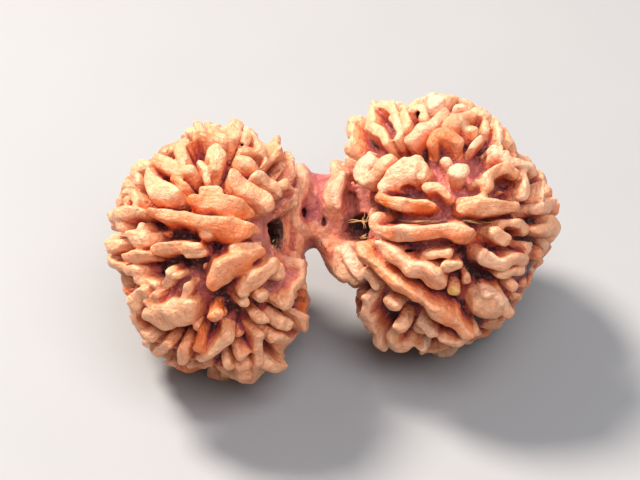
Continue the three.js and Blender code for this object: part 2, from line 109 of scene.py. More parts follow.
# Ridges that the bead rests on: how far they lie aside, half length, half width, and how far the crest
# lies below the resting plane.
restSet = {"offset": 3.1, "reach": 1.0, "half": 0.85, "drop": 0.35, "past": 1.3, "points": 17, "wax": 0.2}
# Voxels in mm, the cutters' voxels as a share of them, softening, and how many triangles stay.
meshSet = {"voxel": 0.105, "cutterVoxel": 0.7, "smoothTimes": 1, "smoothFactor": 0.5, "faces": 195000}

# A ridge: its height as a share of the relief, how waxy its sides are, then (right, up, half width).
leftRidges = [
    # long ridges that run to the mouth
    (1.0, 0.9, [(-4.9, 3.1, .30), (-4.0, 2.9, .50), (-2.6, 2.75, .40), (-1.2, 2.4, .50), (0.2, 2.15, .65),
                (1.3, 1.9, .75), (2.5, 1.75, .55), (3.7, 1.7, .30)]),
    (1.0, 1.0, [(-1.8, 4.0, .32), (-0.9, 3.85, .52), (0.3, 3.8, .66), (1.6, 3.45, .60), (3.2, 3.0, .32)]),
    (.95, 0.7, [(-1.0, 4.75, .30), (-0.2, 4.7, .35), (0.7, 4.4, .30)]),
    (1.0, 0.7, [(-4.6, 0.2, .35), (-3.7, 0.35, .50), (-2.6, 0.5, .45), (-0.8, 0.4, .30)]),
    (.90, 0.3, [(-2.0, -0.1, .35), (-0.5, 0.1, .30)]),
    (.80, 0.6, [(-0.9, 1.5, .30), (-0.2, 1.2, .35)]),
    (1.0, 0.0, [(1.6, 6.2, .35), (1.9, 5.5, .55), (2.9, 4.8, .65), (3.9, 4.1, .60), (4.4, 3.2, .40)]),
    (1.0, 0.1, [(3.2, 5.9, .30), (4.1, 5.55, .38), (5.0, 4.9, .40), (5.4, 4.2, .30)]),
    (1.0, 0.0, [(5.3, 5.2, .35), (6.1, 4.9, .40), (6.6, 4.3, .40), (6.4, 3.6, .30)]),
    # upper left
    (1.0, 0.2, [(-1.7, 9.1, .35), (-1.6, 9.4, .35)]),
    (1.0, 0.5, [(-1.1, 9.8, .38), (-0.8, 9.1, .45)]),
    (.95, 0.9, [(-1.5, 8.6, .30), (-0.8, 8.9, .35), (0.3, 8.6, .30)]),
    (.95, 0.3, [(0.05, 8.1, .55), (0.35, 7.6, .76), (0.4, 7.0, .62), (0.15, 6.2, .30)]),
    (1.0, 0.2, [(-1.7, 8.4, .35), (-2.5, 8.1, .42), (-2.1, 6.9, .35)]),
    (1.0, 0.6, [(-4.4, 7.0, .35), (-3.5, 6.7, .48), (-2.3, 6.3, .50), (-1.3, 6.2, .40)]),
    (1.0, 0.3, [(-4.7, 6.7, .35), (-5.6, 6.4, .45), (-6.0, 6.0, .45), (-5.8, 5.4, .35)]),
    (1.0, 0.3, [(-5.0, 6.0, .50), (-4.6, 5.2, .68), (-3.8, 4.6, .70), (-2.6, 4.4, .45)]),
    (.85, 0.9, [(-2.9, 5.6, .28), (-1.9, 4.9, .28)]),
    (1.0, 0.5, [(-6.2, 4.5, .38), (-5.8, 3.9, .45)]),
    (1.0, 0.4, [(-6.4, 4.2, .32), (-6.7, 3.8, .35)]),
    (1.0, 0.4, [(-5.3, 3.1, .30), (-6.3, 3.1, .42), (-7.4, 2.8, .42)]),
    (1.0, 0.1, [(-7.3, 2.5, .50), (-7.1, 1.9, .55)]),
    (1.0, 0.1, [(-6.3, 1.1, .70), (-5.4, 1.1, .65)]),
    (1.0, 0.2, [(-7.7, 0.5, .50), (-7.4, 0.6, .50)]),
    (.80, 0.0, [(-0.9, 6.8, .25), (-0.5, 6.2, .25), (-0.3, 5.4, .25)]),
    (.80, 0.1, [(-5.4, 2.2, .25), (-5.2, 1.8, .25)]),
    # upper right
    (1.0, 0.2, [(0.1, 9.4, .32), (0.6, 8.9, .45), (1.2, 8.5, .45)]),
    (1.0, 0.1, [(1.9, 9.6, .46), (1.6, 9.1, .56), (1.3, 8.6, .40)]),
    (1.0, 0.2, [(0.2, 9.3, .38), (1.0, 9.35, .45), (1.8, 9.6, .46)]),
    (1.0, 0.2, [(2.6, 8.9, .32), (2.6, 8.4, .35)]),
    (1.0, 0.2, [(3.2, 9.0, .32), (3.5, 8.3, .48), (4.0, 7.4, .40)]),
    (.90, 0.2, [(2.0, 7.6, .30), (3.3, 7.65, .33)]),
    (.95, 0.3, [(1.9, 7.4, .30), (2.6, 6.8, .45), (3.6, 6.3, .30)]),
    (1.0, 0.3, [(5.1, 8.7, .28), (5.1, 7.5, .35)]),
    (1.0, 0.5, [(5.8, 7.8, .42), (6.2, 6.8, .60), (6.5, 5.7, .30)]),
    (.90, 0.2, [(4.5, 7.1, .35), (4.1, 6.8, .30)]),
    (.75, 0.0, [(5.2, 6.6, .25), (5.2, 5.9, .25)]),
    # lower left
    (.95, 0.3, [(-6.6, -0.3, .32), (-5.8, -0.3, .40), (-4.9, -0.3, .35)]),
    (.85, 0.2, [(-7.7, -0.3, .30), (-7.2, -1.0, .40), (-5.5, -1.5, .40)]),
    (.80, 0.2, [(-5.8, -1.9, .30), (-4.3, -2.6, .35)]),
    (1.0, 0.2, [(-3.4, -1.2, .28), (-3.2, -1.8, .35), (-3.7, -2.5, .28)]),
    (1.0, 0.2, [(-3.1, -1.8, .28), (-2.5, -1.8, .25)]),
    (.85, 0.2, [(-1.7, -2.3, .30), (-2.2, -3.5, .33)]),
    (1.0, 0.4, [(-4.7, -5.2, .90), (-3.8, -4.95, 1.2), (-2.6, -4.6, 1.1), (-1.4, -4.1, .60)]),
    (.95, 0.2, [(-4.2, -3.1, .30), (-5.0, -3.8, .45)]),
    (1.0, 0.3, [(-5.2, -2.8, .38), (-5.9, -3.8, .48), (-5.9, -4.9, .50), (-5.4, -6.0, .50),
                (-4.5, -6.5, .42)]),
    (1.0, 0.6, [(-3.3, -6.8, .32), (-4.1, -7.6, .40)]),
    (1.0, 0.5, [(-2.1, -6.9, .35), (-2.2, -7.6, .35), (-2.3, -8.4, .38)]),
    (1.0, 1.0, [(-0.9, -6.4, .42), (-1.1, -7.3, .45)]),
    (1.0, 0.2, [(-1.0, -8.0, .35), (0.4, -7.3, .42), (1.5, -6.3, .65)]),
    (.80, 0.3, [(-1.4, -5.9, .22), (-1.1, -5.5, .22)]),
    # lower right
    (1.0, 0.8, [(4.0, 0.2, .40), (2.6, -0.5, .62), (1.3, -1.2, .85), (0.4, -2.0, .80), (-0.1, -2.7, .60)]),
    (.85, 0.1, [(1.4, 0.3, .30), (2.6, 0.35, .35), (3.8, 0.7, .30)]),
    (1.0, 0.1, [(5.0, -0.5, .38), (4.1, -1.4, .58), (3.1, -2.3, .60), (2.2, -3.2, .48)]),
    (.90, 0.2, [(5.3, -0.8, .32), (5.1, -1.9, .40)]),
    (.90, 0.3, [(4.2, -3.2, .38), (3.4, -3.4, .38)]),
    (.85, 0.2, [(2.5, -3.5, .45), (2.4, -4.0, .40)]),
    (1.0, 0.0, [(6.7, -0.3, .40), (6.9, -1.2, .52), (6.7, -2.2, .50), (6.1, -3.3, .45), (5.5, -4.2, .35)]),
    (1.0, 0.3, [(3.8, -5.2, .58), (3.9, -4.9, .50)]),
    (1.0, 0.5, [(3.6, -6.1, .45), (3.5, -7.3, .35), (3.5, -8.5, .35), (3.1, -9.4, .32)]),
    (1.0, 0.2, [(2.0, -7.9, .48), (2.8, -7.9, .48)]),
    (1.0, 0.2, [(2.4, -8.7, .60), (2.5, -9.3, .55)]),
    (1.0, 1.0, [(0.7, -4.4, .36), (-0.2, -5.1, .38)]),
    (1.0, 0.2, [(5.4, -5.4, .48), (5.9, -5.5, .48)]),
    (.95, 0.2, [(4.7, -6.6, .42), (5.7, -6.6, .42)]),
    (.85, 0.1, [(4.1, -8.6, .45), (5.3, -8.6, .45)]),
    (1.0, 0.1, [(7.2, -4.8, .28), (7.1, -5.7, .30)]),
    (.85, 0.1, [(1.1, -8.3, .30), (1.4, -8.7, .30)]),
]
rightRidges = [
    # the rim beside the mouth, and the ridges along it
    (1.0, 1.0, [(-5.1, 2.4, .35), (-4.2, 1.95, .42), (-2.6, 1.65, .45), (-0.4, 1.5, .30)]),
    (1.0, 0.9, [(-4.9, 1.0, .40), (-5.1, 0.2, .42), (-4.6, -0.35, .45), (-2.8, -0.5, .52),
                (-0.8, -0.4, .55), (0.9, -0.35, .60), (2.4, -0.8, .68)]),
    (1.0, 0.7, [(-5.0, -1.2, .35), (-4.0, -2.1, .45), (-2.6, -3.0, .62), (-1.3, -3.6, .80),
                (-0.1, -4.6, .60)]),
    (.80, 0.2, [(-1.6, -2.2, .28), (0.8, -1.9, .28)]),
    (1.0, 0.2, [(0.1, -3.1, .40), (1.6, -2.9, .30)]),
    (1.0, 0.8, [(-6.6, -1.4, .40), (-5.6, -2.6, .48), (-4.0, -4.0, .42), (-2.2, -5.2, .38),
                (-0.7, -6.3, .50), (0.8, -7.4, .55), (2.2, -8.3, .35)]),
    (.80, 0.2, [(-5.9, -3.3, .38), (-5.1, -4.7, .38)]),
    # upper left
    (1.0, 0.3, [(-6.2, 8.4, .38), (-6.9, 7.8, .45), (-6.9, 6.6, .38), (-7.1, 5.5, .35)]),
    (1.0, 0.2, [(-5.0, 9.4, .48), (-5.4, 8.6, .52), (-5.6, 7.5, .45)]),
    (.95, 0.2, [(-5.4, 7.6, .40), (-4.7, 7.1, .45), (-4.1, 6.2, .30)]),
    (.95, 0.2, [(-4.9, 9.2, .40), (-3.8, 9.0, .42), (-3.7, 8.3, .40)]),
    (.95, 0.2, [(-3.7, 8.4, .32), (-3.1, 7.4, .38), (-3.5, 6.5, .40)]),
    (.95, 0.3, [(-2.9, 8.7, .35), (-2.7, 7.4, .35)]),
    (1.0, 0.6, [(-2.8, 6.4, .35), (-1.6, 7.2, .46), (-0.4, 8.1, .46), (0.4, 8.8, .35)]),
    (1.0, 0.1, [(-1.0, 9.6, .58), (0.1, 9.7, .58)]),
    (.95, 0.2, [(-2.3, 8.7, .28), (-1.7, 9.0, .30), (-1.3, 8.2, .28)]),
    (1.0, 0.9, [(-0.8, 6.2, .38), (-0.5, 6.8, .46), (0.8, 6.85, .46), (1.6, 6.4, .40)]),
    (1.0, 0.1, [(-5.6, 5.6, .50), (-6.0, 4.7, .80), (-6.6, 3.6, .60)]),
    (1.0, 0.1, [(-3.8, 5.4, .36), (-5.0, 4.3, .42), (-6.2, 3.3, .36)]),
    (1.0, 0.1, [(-1.8, 5.3, .50), (-2.2, 4.7, .85), (-3.4, 4.0, .75), (-4.8, 3.0, .42)]),
    (.95, 0.2, [(-1.5, 4.9, .40), (-1.6, 3.7, .35)]),
    (1.0, 0.3, [(-8.5, 5.4, .50), (-8.45, 4.5, .58)]),
    (.85, 0.1, [(-7.5, 5.1, .22), (-7.9, 4.3, .22)]),
    (.90, 0.6, [(-1.4, 3.0, .28), (-0.3, 3.0, .32), (0.7, 2.1, .30)]),
    # upper right
    (1.0, 0.2, [(0.9, 9.2, .32), (1.9, 9.0, .36)]),
    (.95, 0.8, [(0.3, 7.6, .36), (1.3, 8.1, .48), (2.5, 8.6, .42)]),
    (.85, 0.3, [(1.2, 7.8, .32), (2.7, 7.4, .40)]),
    (1.0, 0.2, [(3.1, 8.6, .48), (3.8, 8.4, .46)]),
    (.90, 0.2, [(3.3, 8.0, .30), (3.5, 7.3, .32)]),
    (1.0, 0.3, [(4.2, 7.9, .28), (4.6, 6.6, .32)]),
    (1.0, 0.0, [(0.6, 4.3, .55), (1.2, 4.25, .70), (1.9, 4.4, .52)]),
    (1.0, 0.6, [(3.5, 2.8, .36), (3.7, 3.8, .42), (4.7, 4.4, .42), (5.8, 4.0, .36)]),
    (1.0, 0.2, [(4.8, 5.1, .30), (6.0, 4.8, .38), (7.1, 4.1, .38)]),
    (1.0, 0.2, [(6.3, 4.2, .36), (6.3, 3.2, .42), (6.2, 2.2, .36)]),
    (1.0, 0.2, [(7.6, 3.4, .28), (7.6, 2.0, .32)]),
    (.90, 0.1, [(4.0, 5.5, .30), (5.0, 5.4, .36)]),
    (.85, 0.1, [(3.8, 6.1, .28), (4.6, 5.9, .30)]),
    (1.0, 0.7, [(1.2, 1.3, .36), (2.2, 1.5, .56), (3.8, 1.5, .52), (5.9, 1.5, .40)]),
    (1.0, 0.6, [(7.0, 1.3, .36), (8.4, 1.6, .50)]),
    (.75, 0.0, [(2.2, 6.0, .22), (3.0, 6.7, .22)]),
    (.75, 0.0, [(1.4, 2.1, .22), (3.4, 2.3, .25)]),
    (.75, 0.0, [(2.3, 3.3, .30), (2.7, 3.3, .30)]),
    # lower left
    (1.0, 0.3, [(-7.6, -2.4, .40), (-7.4, -3.5, .42), (-6.7, -4.3, .36)]),
    (1.0, 0.5, [(-5.9, -5.3, .32), (-5.7, -6.8, .46), (-5.2, -8.0, .44), (-4.5, -9.2, .44)]),
    (1.0, 0.3, [(-3.5, -7.7, .62), (-3.0, -7.8, .62)]),
    (1.0, 0.2, [(-4.0, -8.2, .36), (-3.4, -9.0, .50), (-2.5, -9.3, .58)]),
    (.95, 0.5, [(-4.4, -5.9, .50), (-3.3, -6.1, .40)]),
    (.80, 0.1, [(-1.8, -7.2, .38), (-0.6, -8.3, .45)]),
    (.90, 0.1, [(-1.8, -9.4, .50), (-1.3, -9.5, .48)]),
    (.90, 0.2, [(-0.2, -8.6, .40), (1.2, -8.7, .42), (2.7, -8.0, .38)]),
    # lower right
    (1.0, 0.4, [(2.9, -6.0, 1.0), (3.7, -6.3, 1.3), (4.6, -6.5, 1.0)]),
    (1.0, 0.3, [(3.2, -5.3, .36), (4.2, -5.3, .42), (5.1, -6.5, .42)]),
    (.85, 0.5, [(0.75, -4.8, .50), (0.95, -5.15, .55)]),
    (1.0, 0.5, [(3.4, -1.9, .46), (3.3, -2.4, .50), (4.4, -2.9, .48), (5.5, -2.45, .50), (6.6, -2.6, .36)]),
    (.85, 0.2, [(4.2, -3.7, .32), (6.2, -3.3, .36)]),
    (.90, 0.3, [(5.4, -4.5, .35), (5.8, -4.6, .35)]),
    (1.0, 0.3, [(3.8, -0.1, .42), (4.4, -0.7, .52), (5.2, -1.1, .42)]),
    (.95, 0.3, [(4.4, 0.15, .35), (5.9, 0.25, .36), (6.6, -0.4, .46)]),
    (1.0, 0.4, [(7.2, -0.2, .32), (8.5, -0.3, .40)]),
    (1.0, 0.6, [(6.4, -1.3, .34), (6.8, -1.9, .38)]),
]

# Folds at the seam between the seeds: the seed they belong to, then (right, up, towards the camera,
# half width) from the neck's centre.
seamFolds = [
    (leftSeed, [(-1.3, 3.6, 1.9, .35), (-0.9, 2.9, 2.9, .42), (-0.8, 1.7, 3.8, .45), (-1.2, 0.6, 4.4, .45),
                (-1.45, -0.3, 4.7, .50), (-1.2, -1.2, 4.6, .60), (-1.1, -2.1, 4.2, .60),
                (-1.35, -3.0, 3.8, .50), (-1.6, -3.8, 3.6, .42)]),
    (leftSeed, [(-1.9, 0.4, 3.9, .45), (-1.95, -0.8, 3.7, .55), (-1.8, -2.0, 3.9, .56),
                (-1.8, -2.9, 4.2, .45)]),
    (rightSeed, [(2.4, 3.0, 3.6, .35), (1.8, 2.0, 3.9, .58), (1.4, 1.0, 4.0, .68), (1.55, 0.1, 4.0, .68),
                 (1.5, -0.7, 4.1, .70), (1.2, -1.6, 4.3, .76), (1.2, -2.4, 4.3, .76), (1.45, -3.3, 4.2, .72),
                 (1.95, -4.2, 4.4, .66), (2.8, -5.1, 4.6, .48)]),
    (rightSeed, [(2.5, -1.9, 4.3, .60), (2.5, -2.9, 4.8, .62), (3.0, -4.0, 5.2, .55), (3.5, -5.2, 5.4, .40)]),
    (leftSeed, [(-0.9, -1.5, 3.6, .50), (-0.1, -1.4, 3.4, .60), (0.7, -1.3, 3.7, .50)]),
    (rightSeed, [(-0.25, 0.9, 2.7, .22), (0.25, 0.2, 2.95, .30), (0.32, -0.8, 3.0, .30)]),
    (leftSeed, [(-0.35, 2.3, 1.7, .25), (-0.3, 1.3, 2.5, .28), (-0.2, 0.5, 2.8, .25)]),
]

foldSet = {"depth": 3.2, "wax": 0.1}    # height of a fold's wall, and its wax

# Far ridges, where the charts don't reach, fall by the same rule and draws as the frame's own.
# Angles are in degrees: bands count from the back end of the bore, turns go round it.
farSet = {
    "bands": (16, 41, 66, 91, 116, 141), "reach": 11.0, "pitch": 2.35, "radius": 8.6,
    "seed": 4711, "guard": 0.6,
    "turn": 0.2, "drift": 6, "shift": 3, "tall": (0.88, 1), "half": (0.5, 0.8),
    # the path's four points: how far along the reach, how far aside, and width as a share
    "knots": (-1.25, -0.4, 0.45, 1.25), "aside": (0, 40, -30, 0), "widths": (0.75, 1.05, 0.8, 0.95),
    "bend": 0.16, "slim": (0.72, 0.95), "waxes": (0, .2, .5, .9), "step": 6.5,
}
stubSet = {"chance": 0.75, "reach": (7, 11), "start": 8, "slope": 9, "half": 0.7, "tip": (0.6, 0.9),
           "tall": (0.8, 0.97), "wax": 0.2}


def axesOfView():
    a, e = viewSet["azimuth"], viewSet["elevation"]
    right = np.array([math.cos(a), math.sin(a), 0.0])
    back = np.array([math.sin(a) * math.cos(e), -math.cos(a) * math.cos(e), math.sin(e)])
    return right, np.cross(back, right), back


viewRight, viewUp, viewBack = axesOfView()
eye = np.array(viewSet["aim"]) + viewBack * viewSet["distance"]


def unit(v):
    return v / np.linalg.norm(v, axis=-1, keepdims=True)


def reliefHalf(seed, tall):
    # Half sizes between the valley floors (0) and the ridge tips (1).
    low, high = np.array(seed["coreHalf"]), np.array(seed["tipHalf"])
    return low + (high - low) * np.asarray(tall)[..., None]


def lengthsAlong(points):
    return np.r_[0, np.cumsum(np.linalg.norm(np.diff(points, axis=0), axis=1))]


def sightOn(seed, half, chart):
    # Where the line of sight through each chart point first meets the ellipsoid of these half sizes, or
    # passes nearest to it, measured in half sizes from the centre.
    centre = np.array(seed["centre"])
    toCentre = centre - eye
    origin = eye + toCentre * viewSet["distance"] / -(toCentre @ viewBack)
    target = origin + chart[:, :1] * viewRight + chart[:, 1:2] * viewUp
    start = (eye - centre) / half
    run = (target - eye) / half
    a = (run * run).sum(1)
    b = (start * run).sum(1)
    room = b * b - a * ((start * start).sum(-1) - 1)
    t = (-b - np.sqrt(np.maximum(room, 0))) / a
    return start + run * t[:, None]


def seenPoints(seed, half, chart):
    # The same in the frame's millimetres; points of lines that miss are drawn in towards the seed.
    near = sightOn(seed, half, chart)
    reach = np.linalg.norm(near, axis=1, keepdims=True)
    return near / np.maximum(1, reach / missReach) * half + seed["centre"]


def chartSpot(seed, tall, chart):
    # One chart point, at a height given as a share of the relief.
    return seenPoints(seed, reliefHalf(seed, np.array([tall])), np.array([chart]))[0]


def mouthOf(seed):
    return chartSpot(seed, 0.0, seed["mouth"])


def outward(seed, half, points):
    return unit((points - np.array(seed["centre"])) / half ** 2)


def heldInOutline(seed, place):
    # Crests that the charts don't hold are drawn in where they would stand out past the seed's outline.
    centre = np.array(seed["centre"])
    sight = place - eye
    sight = sight * (viewSet["distance"] / -(sight @ viewBack))[:, None]
    toCentre = centre - eye
    sight -= toCentre * (viewSet["distance"] / -(toCentre @ viewBack))
    across, rise = sight @ viewRight, sight @ viewUp
    bearing = np.degrees(np.arctan2(rise, across))
    limit = np.interp(bearing, np.arange(-180, 180, outlineSet["every"]), seed["outline"], period=360)
    share = np.minimum(1, (limit - outlineSet["inset"]) / np.hypot(across, rise))
    inCore = np.linalg.norm((place - centre) / np.array(seed["coreHalf"]), axis=1)
    return centre + (place - centre) * np.maximum(share, outlineSet["lowest"] / inCore)[:, None]


def splineThrough(points, step):
    # Catmull-Rom: each stretch is a cubic whose slope at a point is half the way between its neighbours.
    p = np.vstack([2 * points[0] - points[1], points, 2 * points[-1] - points[-2]])
    runs = []
    for i in range(len(points) - 1):
        a, b, c, d = p[i:i + 4]
        count = max(2, math.ceil(np.linalg.norm((c - b)[:2]) / step))
        t = np.linspace(0, 1, count, endpoint=False)[:, None]
        runs.append(b + 0.5 * t * (c - a + t * (2 * a - 5 * b + 4 * c - d + t * (3 * (b - c) + d - a))))
    return np.vstack(runs + [points[-1:]])


def carryProfile(points, normals, halves, depths, leans):
    # A wall with a rounded top, |x|^n + |y|^n = 1, tipped to one side, and sides that spread towards the
    # root, carried along a crest. Its ends are round: near them the width follows a quarter circle and
    # the top drops with it.
    across = unit(np.cross(unit(np.gradient(points, axis=0)), normals))
    lengths = lengthsAlong(points)
    fromEnd = np.minimum(lengths, lengths[-1] - lengths) / np.maximum(halves * ridgeSet["taper"], 0.05)
    blunt = ridgeSet["blunt"]
    bulge = np.sqrt(1 - (1 - np.clip(fromEnd, 0, 1)) ** 2) * (1 - blunt) + blunt
    crest = points - normals * (halves * (1 - bulge) * ridgeSet["endDrop"])[:, None]
    turn = np.linspace(-math.pi / 2, math.pi / 2, ridgeSet["topPoints"])
    power = 2 / ridgeSet["square"]
    top = np.sign(np.sin(turn)) * np.abs(np.sin(turn)) ** power
    cap = ridgeSet["roundTop"] * (1 - np.maximum(np.cos(turn), 0) ** power)
    shares, flare = np.array(ridgeSet["flare"]).T
    side = np.r_[-flare[::-1], top, flare]
    down = np.zeros((len(points), len(side)))
    down[:, 3:-3] = (cap + leans[:, None] * top) * halves[:, None]
    wall = np.maximum(depths, ridgeSet["leastWall"] * halves)
    down[:, -3:] = np.maximum(wall[:, None] * shares, halves[:, None])
    down[:, :3] = down[:, :-4:-1]
    grid = (crest[:, None] + across[:, None] * (side * (halves * bulge)[:, None])[..., None]
            - normals[:, None] * down[..., None])
    return closeTube(grid)


def closeTube(grid):
    # Quads round and along a grid of sections, with a fan to a middle point at each end.
    rows, cols, _ = grid.shape
    index = np.arange(rows * cols).reshape(rows, cols)
    a, b = index[:-1], index[1:]
    quads = np.stack([a, b, np.roll(b, -1, 1), np.roll(a, -1, 1)], -1).reshape(-1, 4)
    tris = np.vstack([quads[:, [0, 1, 2]], quads[:, [0, 2, 3]]])
    ends = np.array([grid[0].mean(0), grid[-1].mean(0)])
    first, last = rows * cols, rows * cols + 1
    fanA = np.stack([index[0], np.roll(index[0], -1), np.full(cols, first)], -1)
    fanB = np.stack([np.roll(index[-1], -1), index[-1], np.full(cols, last)], -1)
    return np.vstack([grid.reshape(-1, 3), ends]), np.vstack([tris, fanA, fanB])


def ellipsoidShell(centre, half, around=96, rings=64):
    # A globe of longitude and latitude, stretched to its half sizes, with its poles on X.
    theta = np.linspace(0, math.pi, rings + 1)[1:-1]
    phi = np.linspace(0, 2 * math.pi, around, endpoint=False)
    t, p = np.meshgrid(theta, phi, indexing="ij")
    grid = np.stack([np.cos(t), np.sin(t) * np.cos(p), np.sin(t) * np.sin(p)], -1) * half + centre
    verts, tris = closeTube(grid)
    verts[-2] = np.array(centre) + (half[0], 0, 0)
    verts[-1] = np.array(centre) - (half[0], 0, 0)
    return verts, tris


def chartedCrests(seed, ridge, rng):
    # A charted ridge as crest samples: place, outward direction, half width and depth to its root.
    tall, wax, points = ridge
    points = np.array(points, float)
    for end, inner in ((0, 1), (-1, -2)):
        way = points[end, :2] - points[inner, :2]
        points[end, :2] += way / np.linalg.norm(way) * points[end, 2] * ridgeSet["endReach"]
    run = splineThrough(points, ridgeSet["step"])
    half = reliefHalf(seed, np.full(len(run), tall))
    # where the sight misses, the crest stands taller, and this fades along it
    missed = np.linalg.norm(sightOn(seed, half, run[:, :2]), axis=1) - 1
    missed = np.clip(missed, 0, ridgeSet["raised"])
    gaps = np.abs(np.arange(len(run))[:, None] - np.arange(len(run))) * ridgeSet["step"]
    half = half * (ridgeSet["clear"] + (missed * np.exp(-gaps / ridgeSet["fade"])).max(1))[:, None]
    place = seenPoints(seed, half, run[:, :2])
    return finishCrests(seed, place, half, run[:, 2] * ridgeSet["broaden"], wax, rng)


def finishCrests(seed, place, half, widths, wax, rng, tone=1.0):
    # Swells along the crest: two sines of its length, in height, in width and in the lean of its top.
    centre = np.array(seed["centre"])
    normals = outward(seed, half, place)
    lengths = lengthsAlong(place)
    phase = iter(rng.uniform(0, 2 * math.pi, 6))
    waves = {trait: sum(share * np.sin(lengths * rate + next(phase)) for share, rate in sines)
             for trait, sines in crestWaves.items()}
    sideways = unit(np.cross(unit(np.gradient(place, axis=0)), normals))
    leans = waves["lean"] - ridgeSet["leanDown"] * sideways @ viewUp
    floor = centre + unit((place - centre) / half) * np.array(seed["coreHalf"])
    depths = np.linalg.norm(place - floor, axis=1) + ridgeSet["sink"]
    return {"seed": seed, "points": place + normals * (waves["lift"] * ridgeSet["wobble"])[:, None],
            "normals": normals, "halves": widths * (1 + ridgeSet["swell"] * waves["broad"]),
            "depths": depths, "leans": leans * ridgeSet["lean"], "lengths": lengths, "wax": wax,
            "tone": tone, "tint": tintOf(seed, rng)}


def tintOf(seed, rng):
    return seed["creamFrom"] + ridgeSet["tints"] * rng.random()


def foldCrests(rng):
    # The seam's folds, which face the camera and reach down into the neck.
    found = []
    for seed, points in seamFolds:
        run = splineThrough(np.array(points, float), ridgeSet["step"])
        place = neckSet["centre"] + run[:, :1] * viewRight + run[:, 1:2] * viewUp + run[:, 2:3] * viewBack
        plain = np.ones(len(run))
        found.append({"seed": seed, "points": place, "normals": plain[:, None] * viewBack,
                      "halves": run[:, 3], "depths": plain * foldSet["depth"], "leans": plain * 0.0,
                      "lengths": lengthsAlong(place), "wax": foldSet["wax"], "tone": 1.0,
                      "tint": tintOf(seed, rng)})
    return found


def steadyDrawer(start):
    # Park and Miller's generator, as the frame's far ridges use it.
    state = [start]

    def draw(low, high):
        state[0] = state[0] * 16807 % 2147483647
        return low + (high - low) * state[0] / 2147483647
    return draw


def globeOf(seed):
    # Unit directions by angle from the back end of the bore and turn round it.
    pole = unit((mouthOf(seed) - np.array(seed["centre"])) / np.array(seed["coreHalf"]))
    east = unit(np.cross(pole, (0, 0, 1)))
    north = np.cross(pole, east)

    def direction(fromBack, turn):
        polar, azimuth = np.radians(fromBack)[..., None], np.radians(turn)[..., None]
        return (-pole * np.cos(polar) + east * np.sin(polar) * np.cos(azimuth)
                + north * np.sin(polar) * np.sin(azimuth))
    return direction


def isFar(seed, points, normals):
    # Faces away from the camera, clear of the neck and of the ridges that the bead rests on.
    guard = farSet["guard"]
    away = (normals * unit(eye - points)).sum(1) < 0
    neck = (points - neckSet["centre"]) / (np.array(neckSet["half"]) + guard)
    besideX = np.abs(points[:, 0] - seed["centre"][0]) < restSet["reach"] + guard
    besideY = np.abs(np.abs(points[:, 1]) - restSet["offset"]) < restSet["half"] + guard
    resting = besideX & besideY & (points[:, 2] < restSet["offset"])
    return away & (np.linalg.norm(neck, axis=1) > 1) & ~resting


def farCrests(seed, draw, rng):
    # Bands of short ridges round the bore's axis, each bent a little, with a stub beside some of them.
    direction = globeOf(seed)
    found = []
    for band in farSet["bands"]:
        thin = math.sin(math.radians(band))
        count = math.floor(2 * math.pi * farSet["radius"] * thin / farSet["pitch"] + 0.5)
        for i in range(count):
            turn = (i + draw(-farSet["turn"], farSet["turn"])) * 360 / count
            drift = draw(-farSet["drift"], farSet["drift"]) / thin
            middle = band + draw(-farSet["shift"], farSet["shift"])
            tall = draw(*farSet["tall"])
            half = draw(*farSet["half"])
            ends = np.array([-1.0, 1.0])
            relief = reliefHalf(seed, np.full(2, tall))
            tips = direction(middle + ends * farSet["reach"], turn + ends * drift) * relief + seed["centre"]
            if not isFar(seed, tips, outward(seed, relief, tips)).all():
                continue
            bend = rng.uniform(-farSet["bend"], farSet["bend"]) / thin
            width = half * rng.uniform(*farSet["slim"])
            knots = np.array(farSet["knots"])
            path = np.stack([middle + knots * farSet["reach"],
                             turn + knots * drift + bend * np.array(farSet["aside"]),
                             width * np.array(farSet["widths"])], -1)
            found.append(farRun(seed, direction, path, tall, rng.choice(farSet["waxes"]), rng))
            if rng.random() < stubSet["chance"]:
                stub = stubPath(middle, turn, thin, width, rng)
                height = tall * rng.uniform(*stubSet["tall"])
                found.append(farRun(seed, direction, stub, height, stubSet["wax"], rng))
    return found


def stubPath(middle, turn, thin, width, rng):
    # From a far ridge's side, out across the valley.
    side = rng.choice([-1, 1])
    reach = rng.uniform(*stubSet["reach"]) / thin * side
    start = rng.uniform(-stubSet["start"], stubSet["start"])
    slope = rng.uniform(-stubSet["slope"], stubSet["slope"])
    return np.array([[middle + start, turn, width * stubSet["half"]],
                     [middle + start + slope, turn + reach, width * rng.uniform(*stubSet["tip"])]])


def farRun(seed, direction, path, tall, wax, rng):
    # A far ridge as crest samples; its path holds angle from the back, turn and half width.
    run = splineThrough(path, ridgeSet["step"] * farSet["step"])
    half = reliefHalf(seed, np.full(len(run), tall))
    place = heldInOutline(seed, direction(run[:, 0], run[:, 1]) * half + seed["centre"])
    return finishCrests(seed, place, half, run[:, 2], wax, rng)


# Bare floor is filled by further ridges: low ones where the camera sees it, full ones elsewhere.
fillSet = {
    "tries": 1500, "radius": 9.0, "step": 0.3, "bend": 0.22, "shortest": 0.03,
    # clear distance at the start and at the ends, longest reach, lowest and highest share of the relief,
    # how much broader, and how light
    "seen": (1.0, 0.75, 1.2, 0.30, 0.56, 1.0, 0.55), "hidden": (1.35, 0.95, 2.4, 0.80, 1.0, 1.25, 1.0),
    "half": (0.30, 0.52), "uneven": (0.85, 1.1), "level": 0.7, "wax": 0.2,
    "seenFrom": 0.12, "mouthClear": 2.7, "neckClear": 1.05,
}


